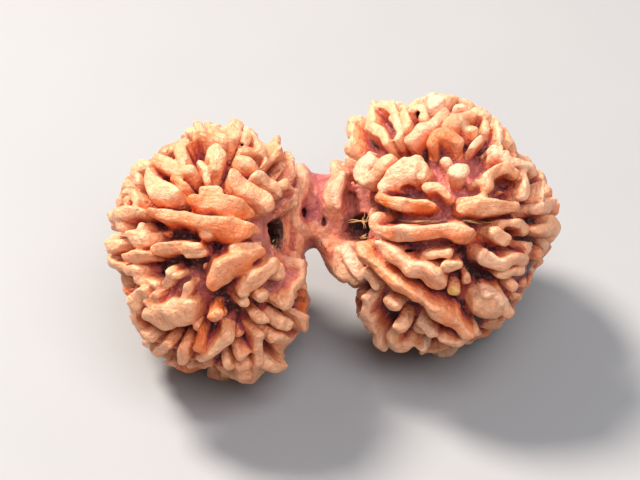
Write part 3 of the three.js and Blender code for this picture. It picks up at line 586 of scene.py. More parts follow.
def fillCrests(seed, crests, rng):
    # Each new ridge starts at a bare spot of the globe and runs on both ways, turning a little, until
    # another crest is near.
    centre = np.array(seed["centre"])
    middle = reliefHalf(seed, np.array([fillSet["level"]]))[0]
    taken = [unit((c["points"] - centre) / middle) for c in crests]
    mouth = unit((mouthOf(seed) - centre) / np.array(seed["coreHalf"]))
    mouths = np.array([mouth, -mouth])
    found = []

    def clearance(spot):
        return fillSet["radius"] * math.acos(min(1.0, float((np.vstack(taken) @ spot).max())))

    def allowed(spot):
        place = spot * middle + centre
        neckIn = np.linalg.norm((place - neckSet["centre"]) / np.array(neckSet["half"]))
        atMouth = fillSet["radius"] * math.acos(min(1.0, float((mouths @ spot).max())))
        return neckIn > fillSet["neckClear"] and atMouth > fillSet["mouthClear"]

    def walk(spot, heading, endGap, reach):
        path = []
        turn = rng.normal(0, fillSet["bend"])
        for _ in range(int(reach / fillSet["step"])):
            heading = heading + np.cross(spot, heading) * turn
            heading = unit(heading - spot * (heading @ spot))
            spot = unit(spot + heading * fillSet["step"] / fillSet["radius"])
            if clearance(spot) < endGap or not allowed(spot):
                break
            path.append(spot)
        return path

    for _ in range(fillSet["tries"]):
        spot = unit(rng.normal(0, 1, 3))
        normal = unit(spot / middle)
        seen = bool(normal @ unit(eye - (spot * middle + centre)) > fillSet["seenFrom"])
        startGap, endGap, reach, low, high, broad, light = fillSet["seen" if seen else "hidden"]
        if clearance(spot) < startGap or not allowed(spot):
            continue
        heading = unit(np.cross(spot, rng.normal(0, 1, 3)))
        ahead = walk(spot, heading, endGap, reach * rng.uniform(0.5, 1))
        behind = walk(spot, -heading, endGap, reach * rng.uniform(0.5, 1))
        path = np.array(behind[::-1] + [spot] + ahead)
        if len(path) < 3:
            path = unit(spot + np.array([[-1.0], [0.0], [1.0]]) * heading * fillSet["shortest"])
        tall = rng.uniform(low, high)
        half = reliefHalf(seed, np.full(len(path), tall))
        widths = rng.uniform(*fillSet["half"]) * broad * rng.uniform(*fillSet["uneven"], len(path))
        place = heldInOutline(seed, path * half + centre)
        found.append(finishCrests(seed, place, half, widths, fillSet["wax"], rng, light))
        taken.append(path)
    print("fill ridges:", len(found))
    return found


def restingCrests(seed, rng):
    # Two ridges under the seed, which are cut flat at the resting plane.
    found = []
    plain = np.ones(restSet["points"])
    half = reliefHalf(seed, plain)
    for side in (-1, 1):
        x = np.linspace(-restSet["past"], restSet["past"], len(plain)) * restSet["reach"] + seed["centre"][0]
        place = np.stack([x, plain * side * restSet["offset"], plain * -restSet["drop"]], -1)
        found.append(finishCrests(seed, place, half, plain * restSet["half"], restSet["wax"], rng))
    return found


def rodShell(start, end, radiusStart, radiusEnd):
    # A straight rod or cone from one point to another: circles about the line between them.
    way = unit(end - start)
    sideways = unit(np.cross(way, (0.3, 0.2, 1.0)))
    other = np.cross(way, sideways)
    turn = np.linspace(0, 2 * math.pi, boreSet["sides"], endpoint=False)[:, None]
    ring = np.cos(turn) * sideways + np.sin(turn) * other
    return closeTube(np.stack([start + ring * radiusStart, end + ring * radiusEnd]))


def boreShells(seed):
    # The string's bore through the seed's centre, a little wider at both mouths.
    centre = np.array(seed["centre"])
    outside = mouthOf(seed) - centre
    way, reach = unit(outside), np.linalg.norm(outside) + boreSet["past"]
    shells = [rodShell(centre - way * reach, centre + way * reach, boreSet["radius"], boreSet["radius"])]
    for side in (-1, 1):
        deep = centre + outside * side - way * side * boreSet["mouthDepth"]
        shells.append(rodShell(deep, centre + way * side * reach, boreSet["radius"], boreSet["mouthRadius"]))
    return shells


def allPits():
    # Each pit as its middle, its half sizes along the camera's axes, and the darkness of its painted shade.
    found = []
    for seed, pits in ((leftSeed, leftPits), (rightSeed, rightPits)):
        for chart, tall, half, paintedShade in pits:
            found.append((chartSpot(seed, tall, chart), np.array(half), paintedShade))
    for chart, _, half, paintedShade in neckPits:
        middle = seenPoints(neckSet, np.array(neckSet["half"]), np.array([chart]))[0]
        found.append((middle, np.array(half), paintedShade))
    return found


def pitShell(middle, half, _):
    # A globe stretched along the camera's axes.
    verts, tris = ellipsoidShell((0, 0, 0), (1, 1, 1), 24, 16)
    axes = np.array([viewRight, viewUp, viewBack])
    return middle + (verts * half) @ axes, tris


def paintedShadeOfPits(points):
    # Painted shade: 1 at the back of a pit, 0 outside it and at its rim.
    paintedShade = np.zeros(len(points))
    axes = np.array([viewRight, viewUp, viewBack])
    for middle, half, paintedShadeStrength in allPits():
        local = (points - middle) @ axes.T / half
        inside = 1 - smoothStep(*pitShade["edge"], np.linalg.norm(local, axis=1))
        paintedShade = np.maximum(paintedShade, paintedShadeStrength * inside * (1 - smoothStep(*pitShade["back"], local[:, 2])))
    return paintedShade


def joinShells(shells):
    offsets = np.cumsum([0] + [len(v) for v, _ in shells[:-1]])
    verts = np.vstack([v for v, _ in shells])
    return verts, np.vstack([f + o for (_, f), o in zip(shells, offsets)])


def meshObject(name, verts, faces):
    mesh = bpy.data.meshes.new(name)
    mesh.vertices.add(len(verts))
    mesh.vertices.foreach_set("co", np.asarray(verts, np.float32).ravel())
    mesh.loops.add(faces.size)
    mesh.loops.foreach_set("vertex_index", faces.astype(np.int32).ravel())
    mesh.polygons.add(len(faces))
    mesh.polygons.foreach_set("loop_start", np.arange(0, faces.size, faces.shape[1], dtype=np.int32))
    mesh.update(calc_edges=True)
    mesh.validate()
    piece = bpy.data.objects.new(name, mesh)
    bpy.context.scene.collection.objects.link(piece)
    return piece


def applyModifier(piece, name, kind, **values):
    modifier = piece.modifiers.new(name, kind)
    for key, value in values.items():
        setattr(modifier, key, value)
    bpy.context.view_layer.objects.active = piece
    bpy.ops.object.modifier_apply(modifier=modifier.name)
    print(name, "leaves", len(piece.data.polygons), "faces")


def mendMesh(piece):
    # The thinning leaves a few edges with one face or more than two: the crowded edges' faces go, and the
    # holes are filled. A hole that stays open is made wider by a ring of faces and filled again.
    work = bmesh.new()
    work.from_mesh(piece.data)
    for again in range(8):
        worn = {face for edge in work.edges if len(edge.link_faces) > 2 for face in edge.link_faces}
        gaps = [edge for edge in work.edges if len(edge.link_faces) == 1]
        if not worn and not gaps:
            break
        if again:
            worn |= {face for edge in gaps for point in edge.verts for face in point.link_faces}
        bmesh.ops.delete(work, geom=list(worn), context="FACES")
        rims = [edge for edge in work.edges if len(edge.link_faces) == 1]
        filled = bmesh.ops.holes_fill(work, edges=rims, sides=0)
        bmesh.ops.triangulate(work, faces=filled["faces"])
        lost = [edge for edge in work.edges if not edge.link_faces]
        bmesh.ops.delete(work, geom=lost, context="EDGES")
    work.to_mesh(piece.data)
    work.free()


def keepBiggestBody(piece):
    # Each point takes the lowest number among the points it is joined to; only the commonest number stays.
    mesh = piece.data
    ends = np.empty(len(mesh.edges) * 2, np.int32)
    mesh.edges.foreach_get("vertices", ends)
    first, second = ends.reshape(-1, 2).T
    body, before = np.arange(len(mesh.vertices)), None
    while before is None or (body != before).any():
        before = body.copy()
        lowest = np.minimum(body[first], body[second])
        np.minimum.at(body, first, lowest)
        np.minimum.at(body, second, lowest)
        body = body[body]
    specks = np.flatnonzero(body != np.bincount(body).argmax())
    work = bmesh.new()
    work.from_mesh(mesh)
    work.verts.ensure_lookup_table()
    bmesh.ops.delete(work, geom=[work.verts[i] for i in specks], context="VERTS")
    work.to_mesh(mesh)
    work.free()
    print("specks deleted:", len(specks), "points;", len(mesh.polygons), "faces left")


def vertexPlaces(piece):
    flat = np.empty(len(piece.data.vertices) * 3, np.float32)
    piece.data.vertices.foreach_get("co", flat)
    return flat.reshape(-1, 3).astype(float)


def vertexNormals(piece):
    flat = np.empty(len(piece.data.vertices) * 3, np.float32)
    piece.data.vertex_normals.foreach_get("vector", flat)
    return flat.reshape(-1, 3).astype(float)


def latticeNoise(points, cell, seed):
    # Value noise: a seeded number at each corner of a lattice of cells, blended by a smooth step, -1 to 1.
    rng = np.random.default_rng(seed)
    table = rng.uniform(-1, 1, 4096)
    scaled = points / cell + 1000
    base = np.floor(scaled).astype(np.int64)
    part = scaled - base
    part = part * part * (3 - 2 * part)
    total = np.zeros(len(points))
    for corner in range(8):
        step = np.array([corner & 1, corner >> 1 & 1, corner >> 2 & 1])
        weight = np.prod(np.where(step, part, 1 - part), axis=1)
        key = (base + step) @ np.array([73, 1259, 32749])
        total += weight * table[key % 4096]
    return total


def smoothStep(low, high, x):
    t = np.clip((x - low) / (high - low), 0, 1)
    return t * t * (3 - 2 * t)


def seedCoordinates(points):
    # For each point: how far up the relief it stands (0 floor, 1 tip), and which seed it is nearer to.
    rises, nearness = [], []
    for seed in (leftSeed, rightSeed):
        offset = points - np.array(seed["centre"])
        inCore = np.linalg.norm(offset / np.array(seed["coreHalf"]), axis=1)
        inTip = np.linalg.norm(offset / np.array(seed["tipHalf"]), axis=1)
        rises.append((1 - 1 / inCore) / (1 / inTip - 1 / inCore + 1e-9))
        nearness.append(inTip)
    owner = np.argmin(np.array(nearness), axis=0)
    return np.where(owner == 0, rises[0], rises[1]), owner


# Reach beside a crest, least half width, wax on a bare ridge, where the wax starts below the crest (it keeps
# to the lower side, as painted shade), and how far apart the grain of two ridges lies, along and across.
besideSet = {"reach": 1.6, "narrowest": 0.2, "bare": 0.06, "waxShadeFrom": (-1.5, 0.1), "apart": (7.0, 3.0)}


def ridgeCoordinates(points, owner, crests):
    # For each point, the nearest crest on its own seed gives: wax, a real orange kept to the ridge's lower
    # side as painted shade, lengths along and across that ridge, the distance in half widths, and the
    # ridge's tone and tint.
    count = len(points)
    best = np.full(count, 9.0)
    wax, along, across, tones, tints = np.zeros((5, count))
    for number, crest in enumerate(crests):
        mine = 0 if crest["seed"] is leftSeed else 1
        margin = crest["halves"].max() + besideSet["reach"]
        low, high = crest["points"].min(0) - margin, crest["points"].max(0) + margin
        near = np.flatnonzero((owner == mine) & (points > low).all(1) & (points < high).all(1))
        if not len(near):
            continue
        gap = points[near][:, None] - crest["points"][None]
        flatGap = gap - (gap * crest["normals"]).sum(2, keepdims=True) * crest["normals"]
        distance = np.linalg.norm(flatGap, axis=2)
        closest = distance.argmin(1)
        picked = np.arange(len(near)), closest
        halves = np.maximum(crest["halves"][closest], besideSet["narrowest"])
        share = distance[picked] / halves
        better = share < best[near]
        rows = near[better]
        best[rows] = share[better]
        # Below the crest, as seen, lies the shaded side, where the orange wax also stands for painted shade.
        lowerShadedSide = -(flatGap[picked] @ viewUp) / halves
        waxed = besideSet["bare"] + (1 - besideSet["bare"]) * crest["wax"] ** 2
        wax[rows] = (waxed * smoothStep(*besideSet["waxShadeFrom"], lowerShadedSide))[better]
        sideways = np.cross(unit(np.gradient(crest["points"], axis=0)), crest["normals"])
        tones[rows], tints[rows] = crest["tone"], crest["tint"]
        along[rows] = crest["lengths"][closest][better] + number * besideSet["apart"][0]
        across[rows] = (gap[picked] * sideways[closest]).sum(1)[better] + number * besideSet["apart"][1]
    return wax, along, across, best, tones, tints


def evened(piece, points, times):
    # The mesh's points after they have moved towards the mean of their neighbours this many times.
    edges = np.empty(len(piece.data.edges) * 2, np.int32)
    piece.data.edges.foreach_get("vertices", edges)
    first, second = edges.reshape(-1, 2).T
    count = np.bincount(edges, minlength=len(points))[:, None]
    flat = points.copy()
    for _ in range(times):
        total = np.stack([np.bincount(first, flat[second, k], len(points))
                          + np.bincount(second, flat[first, k], len(points)) for k in range(3)], -1)
        flat = 0.4 * flat + 0.6 * total / count
    return flat


def bulgeOf(piece, points, times):
    # How far each point stands out (mm) from the evened mesh.
    return ((points - evened(piece, points, times)) * vertexNormals(piece)).sum(1)


def gatherCrests():
    # Every crest of both seeds and of the seam.
    rng = np.random.default_rng(29)
    draw = steadyDrawer(farSet["seed"])
    crests = []
    for seed, ridges in ((leftSeed, leftRidges), (rightSeed, rightRidges)):
        own = [chartedCrests(seed, ridge, rng) for ridge in ridges]
        own += farCrests(seed, draw, rng) + restingCrests(seed, rng)
        crests += own + fillCrests(seed, own, rng)
    crests += foldCrests(rng)
    print("ridges:", len(crests))
    return crests


def buildBead(crests):
    # Cores, neck and ridges are fused by a voxel remesh; bores and pits are cut, and the surface is
    # softened, thinned and mended.
    shells = [ellipsoidShell(seed["centre"], seed["coreHalf"]) for seed in (leftSeed, rightSeed)]
    shells.append(ellipsoidShell(neckSet["centre"], neckSet["half"]))
    shells += [carryProfile(c["points"], c["normals"], c["halves"], c["depths"], c["leans"]) for c in crests]
    bead = meshObject("gauri_shankar_stone", *joinShells(shells))
    applyModifier(bead, "fuse", "REMESH", mode="VOXEL", voxel_size=meshSet["voxel"])
    holes = boreShells(leftSeed) + boreShells(rightSeed) + [pitShell(*pit) for pit in allPits()]
    cutters = meshObject("hole_cutter", *joinShells(holes))
    cutterVoxel = meshSet["voxel"] * meshSet["cutterVoxel"]
    applyModifier(cutters, "fuse holes", "REMESH", mode="VOXEL", voxel_size=cutterVoxel)
    applyModifier(bead, "bore", "BOOLEAN", object=cutters, operation="DIFFERENCE", solver="MANIFOLD")
    bpy.data.objects.remove(cutters)
    applyModifier(bead, "soften", "SMOOTH", factor=meshSet["smoothFactor"], iterations=meshSet["smoothTimes"])
    share = meshSet["faces"] / sum(len(p.vertices) - 2 for p in bead.data.polygons)
    applyModifier(bead, "thin", "DECIMATE", ratio=min(1.0, share), use_collapse_triangulate=True)
    mendMesh(bead)
    keepBiggestBody(bead)
    return bead


amberSpot = {"chart": (0.9, -5.05), "tall": 0.85, "radii": (0.35, 0.85)}
# Floors that dust makes paler and pinker: seed, chart point, radius.
paleSpots = [(rightSeed, (1.6, 3.2), 2.9), (rightSeed, (4.6, 5.6), 2.2), (rightSeed, (-4.0, 6.2), 1.6),
             (rightSeed, (-1.0, 0.5), 2.4), (rightSeed, (-3.5, -4.6), 1.6), (leftSeed, (2.9, 2.8), 2.2),
             (leftSeed, (-0.4, 6.0), 1.5), (leftSeed, (-1.4, -2.6), 1.5), (leftSeed, (4.6, -1.6), 1.8)]

# Folds near the neck and the mouths sink towards their mean, and so do the creases between ridges.
meltSet = {"lips": 0.8, "creases": 0.5, "times": 24, "creaseDepth": (0.01, 0.14), "lipsFrom": (0.2, 0.9),
           "aboveFloor": (0.0, 0.8)}
# Noise moved into the surface: (cell in mm, height, seed). The valleys' grain is coarse and fine noise
# together, times a height of its own.
grainSet = {"coarse": (0.42, 0.6, 3), "fine": (0.27, 0.4, 4), "valley": 0.13,
            "lumps": (1.1, 0.12, 5), "knobs": (0.6, 0.07, 6), "onNeck": 0.6}
# The groove at the seam, and where the neck gives way to the seeds.
seamSet = {"depth": 0.1, "half": 0.14, "neckIn": (1.0, 1.2), "fromSeam": (1.2, 2.2)}
# The stone blushes near the mouths and the neck, and this fades over these distances.
blushSet = {"mouth": (1.4, 4.5), "neck": (3.3, 5.6), "neckShape": (1.0, 1.4, 1.4)}
# How often the mesh is evened to find its bulges, and the bulges in mm that count as hollow and full.
bulgeSet = {"fine": (8, -0.12, 0.14), "broad": (60, -0.35, 0.35)}
# What makes a place pale: its height, a crest nearby, and broad and fine bulges, which paint shade into
# hollows and creases.
toneAndShadeWeights = {"rise": 0.22, "crown": 0.34, "broad": 0.26, "fine": 0.18}
# Fading by height (valley, and the painted shade in the bore), by distance from a crest in half widths
# (ridge, crown, stand, wax) and by distance from a pale spot in its radii.
fadeSet = {"valley": (0.15, 0.6), "paintedHoleShade": (-0.4, -0.05), "ridge": (1.0, 1.6), "crown": (0.7, 1.6),
           "stand": (0.5, 1.15), "wax": (1.1, 1.8), "pale": (0.6, 1.15)}
crestRise, paleTall, plainTint = 0.9, 0.2, 0.5


def fadeOut(low, high, x):
    # 1 up to the low value, 0 from the high one.
    return 1 - smoothStep(low, high, x)


def neckFields(points):
    # Distance from the seam; 1 on the neck and 0 on the seeds; 1 round the mouths and the neck, where the
    # stone blushes.
    fromSeam = np.abs(points[:, 0] - neckSet["centre"][0])
    fromNeck = points - np.array(neckSet["centre"])
    neckIn = np.linalg.norm(fromNeck / np.array(neckSet["half"]), axis=1)
    onNeck = fadeOut(*seamSet["neckIn"], neckIn) * fadeOut(*seamSet["fromSeam"], fromSeam)
    mouths = [mouthOf(seed) for seed in (leftSeed, rightSeed)]
    toMouth = np.min([np.linalg.norm(points - mouth, axis=1) for mouth in mouths], axis=0)
    toNeck = np.linalg.norm(fromNeck / blushSet["neckShape"], axis=1)
    blush = np.maximum(fadeOut(*blushSet["mouth"], toMouth), fadeOut(*blushSet["neck"], toNeck))
    return fromSeam, onNeck, blush


def noiseOf(points, name):
    cell, height, seed = grainSet[name]
    return latticeNoise(points, cell, seed) * height


def liftOf(points, rise, fromSeam, onNeck):
    # Grain in the valleys, lumps and knobs everywhere, less of them on the neck, and the seam's groove.
    valley = fadeOut(*fadeSet["valley"], rise)
    grain = noiseOf(points, "coarse") + noiseOf(points, "fine")
    lift = grainSet["valley"] * valley * grain + noiseOf(points, "lumps") + noiseOf(points, "knobs")
    lift *= 1 - grainSet["onNeck"] * onNeck
    return lift - seamSet["depth"] * onNeck * np.exp(-(fromSeam / seamSet["half"]) ** 2)


def meltOf(bead, points, blush):
    # How far each point sinks towards the evened mesh, as a share; not in pits, nor at the floor.
    hollow = -bulgeOf(bead, points, bulgeSet["fine"][0])
    crease = meltSet["creases"] * smoothStep(*meltSet["creaseDepth"], hollow)
    melt = np.maximum(meltSet["lips"] * smoothStep(*meltSet["lipsFrom"], blush), crease)
    return melt * smoothStep(*meltSet["aboveFloor"], points[:, 2]) * (1 - paintedShadeOfPits(points))


def paleAt(points):
    # 1 within each pale spot, 0 outside it.
    pale = np.zeros(len(points))
    for seed, chart, radius in paleSpots:
        distance = np.linalg.norm(points - chartSpot(seed, paleTall, chart), axis=1)
        pale = np.maximum(pale, fadeOut(*fadeSet["pale"], distance / radius))
    return pale


def fullnessForShade(bead, points, name):
    # 0 in hollows, 1 on bulges; it darkens hollows and creases as painted shade.
    times, low, high = bulgeSet[name]
    return smoothStep(low, high, bulgeOf(bead, points, times))


def dressBead(bead, crests):
    # The mesh melts and takes its grain along its normals; then come the values that the material reads.
    points = vertexPlaces(bead)
    rise, owner = seedCoordinates(points)
    fromSeam, onNeck, blush = neckFields(points)
    lift = liftOf(points, rise, fromSeam, onNeck)
    melt = meltOf(bead, points, blush)
    points = points + melt[:, None] * (evened(bead, points, meltSet["times"]) - points)
    points = points + vertexNormals(bead) * lift[:, None]
    points[:, 2] = np.maximum(points[:, 2], 0.0)
    wax, along, across, share, tones, tints = ridgeCoordinates(points, owner, crests)
    onRidge = fadeOut(*fadeSet["ridge"], share)
    crown = fadeOut(*fadeSet["crown"], share) * tones
    fine, broad = fullnessForShade(bead, points, "fine"), fullnessForShade(bead, points, "broad")
    toAmber = np.linalg.norm(points - chartSpot(rightSeed, amberSpot["tall"], amberSpot["chart"]), axis=1)
    values = {
        # tone by height and crests; the bulges add painted shade in hollows and creases
        "level": toneAndShadeWeights["rise"] * np.clip(rise, 0, 1) + toneAndShadeWeights["crown"] * crown
        + toneAndShadeWeights["broad"] * broad + toneAndShadeWeights["fine"] * fine,
        "rise": np.maximum(rise, crestRise * tones * fadeOut(*fadeSet["stand"], share)),
        # painted shade at the back of pits and inside the bores
        "paintedShade": np.maximum(paintedShadeOfPits(points), fadeOut(*fadeSet["paintedHoleShade"], rise)),
        "tint": tints * onRidge + plainTint * (1 - onRidge),
        "wax": wax * fadeOut(*fadeSet["wax"], share),
        "pale": paleAt(points), "amber": fadeOut(*amberSpot["radii"], toAmber),
        "blush": blush, "neck": onNeck,
    }
    for name, numbers in values.items():
        setValue(bead, name, numbers)
    setVector(bead, "grainWay", np.stack([along, across, np.zeros(len(points))], -1))
    bead.data.vertices.foreach_set("co", (points * metresPerMm).astype(np.float32).ravel())
    bead.data.shade_smooth()
    bead.data.update()


def setValue(piece, name, values):
    layer = piece.data.attributes.new(name, "FLOAT", "POINT")
    layer.data.foreach_set("value", np.asarray(values, np.float32))


def setVector(piece, name, values):
    layer = piece.data.attributes.new(name, "FLOAT_VECTOR", "POINT")
    layer.data.foreach_set("vector", np.asarray(values, np.float32).ravel())


def tone(red, green, blue):
    # A screen colour, 0 to 255, as the linear values that a shader takes.
    c = np.array([red, green, blue]) / 255
    linear = np.where(c <= 0.04045, c / 12.92, ((c + 0.055) / 1.055) ** 2.4)
    return (*linear, 1.0)


class NodeBench:
    # Short calls for the nodes of one material.
    def __init__(self, name):
        self.material = bpy.data.materials.new(name)
        self.material.use_nodes = True
        self.tree = self.material.node_tree
        self.tree.nodes.clear()

    def node(self, kind, inputs=(), **settings):
        made = self.tree.nodes.new(kind)
        for key, value in settings.items():
            setattr(made, key, value)
        for key, value in dict(inputs).items():
            self.plug(made.inputs[key], value)
        return made

    def plug(self, socket, value):
        if hasattr(value, "is_output"):
            self.tree.links.new(value, socket)
        else:
            socket.default_value = value

    def value(self, name):
        return self.node("ShaderNodeAttribute", attribute_name=name).outputs["Fac"]

    def math(self, operation, a, b=0.0, c=0.0):
        return self.node("ShaderNodeMath", {0: a, 1: b, 2: c}, operation=operation).outputs[0]

    def times(self, product, *others):
        for other in others:
            product = self.math("MULTIPLY", product, other)
        return product

    def noise(self, vector, scale, detail=3.0, rough=0.55):
        inputs = {"Vector": vector, "Scale": scale, "Detail": detail, "Roughness": rough}
        return self.node("ShaderNodeTexNoise", inputs).outputs["Fac"]

    def step(self, x, low, high, start=0.0, end=1.0):
        inputs = {"Value": x, "From Min": low, "From Max": high, "To Min": start, "To Max": end}
        return self.node("ShaderNodeMapRange", inputs, interpolation_type="SMOOTHSTEP").outputs[0]

    def mix(self, share, first, second, blend="MIX"):
        made = self.node("ShaderNodeMix", data_type="RGBA", blend_type=blend)
        for socket, value in ((made.inputs[0], share), (made.inputs[6], first), (made.inputs[7], second)):
            self.plug(socket, value)
        return made.outputs[2]

    def ramp(self, x, stops):
        made = self.node("ShaderNodeValToRGB", {"Fac": x})
        made.color_ramp.interpolation = "EASE"
        while len(made.color_ramp.elements) < len(stops):
            made.color_ramp.elements.new(0.5)
        for element, (place, colour) in zip(made.color_ramp.elements, stops):
            element.position, element.color = place, colour
        return made.outputs["Color"]

    def finish(self, inputs):
        shader = self.node("ShaderNodeBsdfPrincipled", inputs)
        self.node("ShaderNodeOutputMaterial", {"Surface": shader.outputs[0]})


# The deep tone and the near-black tone of pits and bores are painted shade.
stoneTones = {
    "deep": tone(66, 18, 20), "valley": tone(158, 62, 58), "wall": tone(204, 108, 76),
    "flank": tone(234, 158, 106), "top": tone(242, 182, 134), "wax": tone(228, 106, 32),
    "blush": tone(226, 140, 120), "neck": tone(166, 80, 84), "speck": tone(232, 172, 156),
    "dust": tone(250, 212, 184), "cream": tone(250, 210, 176), "paintedHoleShade": tone(22, 7, 6),
    "amber": tone(222, 176, 84), "pale": tone(206, 118, 108), "grime": tone(204, 108, 76),
}


# Heights, from floor to top, at which the ramp's tones stand. The deep tone, at the lowest level, is painted
# shade.
toneAndShadeStops = {"deep": 0.20, "valley": 0.36, "wall": 0.53, "flank": 0.69, "top": 0.92}
# Noises: cells in a metre, detail and roughness. Lines are stretched along each ridge instead.
stoneNoise = {"patches": (420, 3), "fine": (2600, 4, 0.6), "coarse": (1500, 3, 0.6),
              "specks": (3400, 2, 0.5), "waxPatches": (520, 2), "lines": (1.0, 3, 0.6)}
lineStretch = (0.8, 11.0, 1.0)
# Soft steps: where they begin and end, and the values before and after, which are 0 and 1 unless given.
stoneSteps = {
    "paleFloor": (0.3, 0.62, 0.85, 0.0), "creamTint": (0.55, 1.0), "creamHigh": (0.5, 0.8),
    "orangeTint": (0.45, 0.0), "orangeHigh": (0.4, 0.7), "specks": (0.56, 0.68),
    "valley": (0.25, 0.6, 1.0, 0.0), "blush": (0.2, 1.05, 0.75, 0.3), "waxHigh": (0.3, 0.55),
    "waxPatches": (0.34, 0.6, 0.45, 1.0), "dustHigh": (0.6, 0.85), "dustLines": (0.45, 0.7),
    "dustOnWax": (0.1, 0.6, 0.35, 0.05), "grime": (0.3, 0.7, 0.0, 0.34),
    "roughness": (0.25, 0.75, 0.26, 0.48), "coarseHigh": (0.2, 0.9, 1.3, 0.6),
}
layerShares = {"cream": 0.5, "orange": 0.3, "specks": 0.3, "neck": 0.7, "amber": 0.75, "paintedShade": 0.94}
# Height noise is spread about the level; the bump adds fine grain, lines and coarse grain.
reliefLook = {"spread": (0.3, -0.15), "fine": 0.75, "lines": 0.2, "bump": 0.0003, "waxShine": 0.12,
              "ior": 1.5, "specular": 0.45}


def softStep(bench, name, x):
    return bench.step(x, *stoneSteps[name])


def stoneColour(bench, place, level, waxed, lines, fine):
    # Tones climb from red-brown floors, darkened in hollows and creases as painted shade, to tan tops;
    # further layers of colour lie over them, each with its share, the last a painted shade in pits and bores.
    tint, rise = bench.value("tint"), bench.value("rise")
    specks = softStep(bench, "specks", bench.noise(place, *stoneNoise["specks"]))
    layers = [
        ("pale", (bench.value("pale"), softStep(bench, "paleFloor", level))),
        ("cream", (softStep(bench, "creamTint", tint), softStep(bench, "creamHigh", level),
                   layerShares["cream"])),
        ("wax", (softStep(bench, "orangeTint", tint), softStep(bench, "orangeHigh", level),
                 layerShares["orange"])),
        ("speck", (specks, softStep(bench, "valley", rise), layerShares["specks"])),
        ("blush", (bench.value("blush"), softStep(bench, "blush", rise))),
        # Real waxy orange, kept to the lower sides of ridges as painted shade.
        ("wax", (waxed,)),
        ("neck", (bench.value("neck"), layerShares["neck"])),
        ("dust", (softStep(bench, "dustHigh", level), softStep(bench, "dustLines", lines),
                  softStep(bench, "dustOnWax", waxed))),
        ("grime", (softStep(bench, "grime", fine),)),
        ("amber", (bench.value("amber"), layerShares["amber"])),
        # Painted shade: a near-black tone at the back of pits and inside the bores.
        ("paintedHoleShade", (bench.value("paintedShade"), layerShares["paintedShade"])),
    ]
    colour = bench.ramp(level, [(stop, stoneTones[name]) for name, stop in toneAndShadeStops.items()])
    for name, shares in layers:
        blend = "MULTIPLY" if name == "grime" else "MIX"
        colour = bench.mix(bench.times(*shares), colour, stoneTones[name], blend)
    return colour


def stoneHeight(bench, place, lines, fine):
    # The bump's height: fine grain and lines, and coarse grain that is stronger in the valleys.
    coarse = bench.noise(place, *stoneNoise["coarse"])
    height = bench.math("ADD", bench.times(fine, reliefLook["fine"]), bench.times(lines, reliefLook["lines"]))
    return bench.math("ADD", height, bench.times(coarse, softStep(bench, "coarseHigh", bench.value("rise"))))


def stoneMaterial():
    # Dry seed stone: colour by height with painted shade in hollows, pits and bores, wax on some ridges that
    # also paints shade on their lower sides, lines that follow each ridge.
    bench = NodeBench("seed_stone")
    place = bench.node("ShaderNodeTexCoord").outputs["Object"]
    grainWay = bench.node("ShaderNodeAttribute", attribute_name="grainWay").outputs["Vector"]
    stretched = bench.node("ShaderNodeVectorMath", {0: grainWay, 1: lineStretch}, operation="MULTIPLY")
    lines = bench.noise(stretched.outputs[0], *stoneNoise["lines"])
    fine = bench.noise(place, *stoneNoise["fine"])
    patches = bench.math("MULTIPLY_ADD", bench.noise(place, *stoneNoise["patches"]), *reliefLook["spread"])
    level = bench.math("ADD", bench.value("level"), patches)
    waxPatches = softStep(bench, "waxPatches", bench.noise(place, *stoneNoise["waxPatches"]))
    waxed = bench.times(softStep(bench, "waxHigh", level), bench.value("wax"), waxPatches)
    shine = bench.times(waxed, reliefLook["waxShine"])
    bump = bench.node("ShaderNodeBump", {"Height": stoneHeight(bench, place, lines, fine),
                                         "Distance": reliefLook["bump"], "Strength": 1.0})
    bench.finish({"Base Color": stoneColour(bench, place, level, waxed, lines, fine),
                  "Roughness": bench.math("SUBTRACT", softStep(bench, "roughness", fine), shine),
                  "Normal": bump.outputs["Normal"], "IOR": reliefLook["ior"],
                  "Specular IOR Level": reliefLook["specular"]})
    return bench.material


fibreSet = {
    "radius": 0.032, "seed": 61, "sides": 6, "points": 12, "bend": 0.05, "curl": 3, "endAngle": 0.25,
    "lengths": (0.5, 1.1), "tall": (0.35, 0.62), "radii": (0.6, 1.2),
    # seed, its chart's middle (right, up), spread, how many, main way in degrees, turn, length
    "patches": [(rightSeed, (-5.7, 0.45), (0.14, 0.3), 9, 75, 24, 0.55),
                (rightSeed, (-5.75, -0.75), (0.2, 0.14), 6, 20, 24, 0.55),
                (rightSeed, (-1.2, 0.42), (2.3, 0.05), 10, 1, 7, 2.6),
                (rightSeed, (4.0, 0.32), (1.4, 0.08), 8, 5, 9, 2.2),
                (leftSeed, (4.45, 0.6), (0.1, 0.1), 4, 60, 20, 0.35)],
}
fibreLook = {"tones": [(0.3, tone(140, 90, 50)), (0.7, tone(216, 172, 112))], "patches": (900, 2),
             "grain": (5000, 2), "bump": 0.00002, "roughness": 0.6}


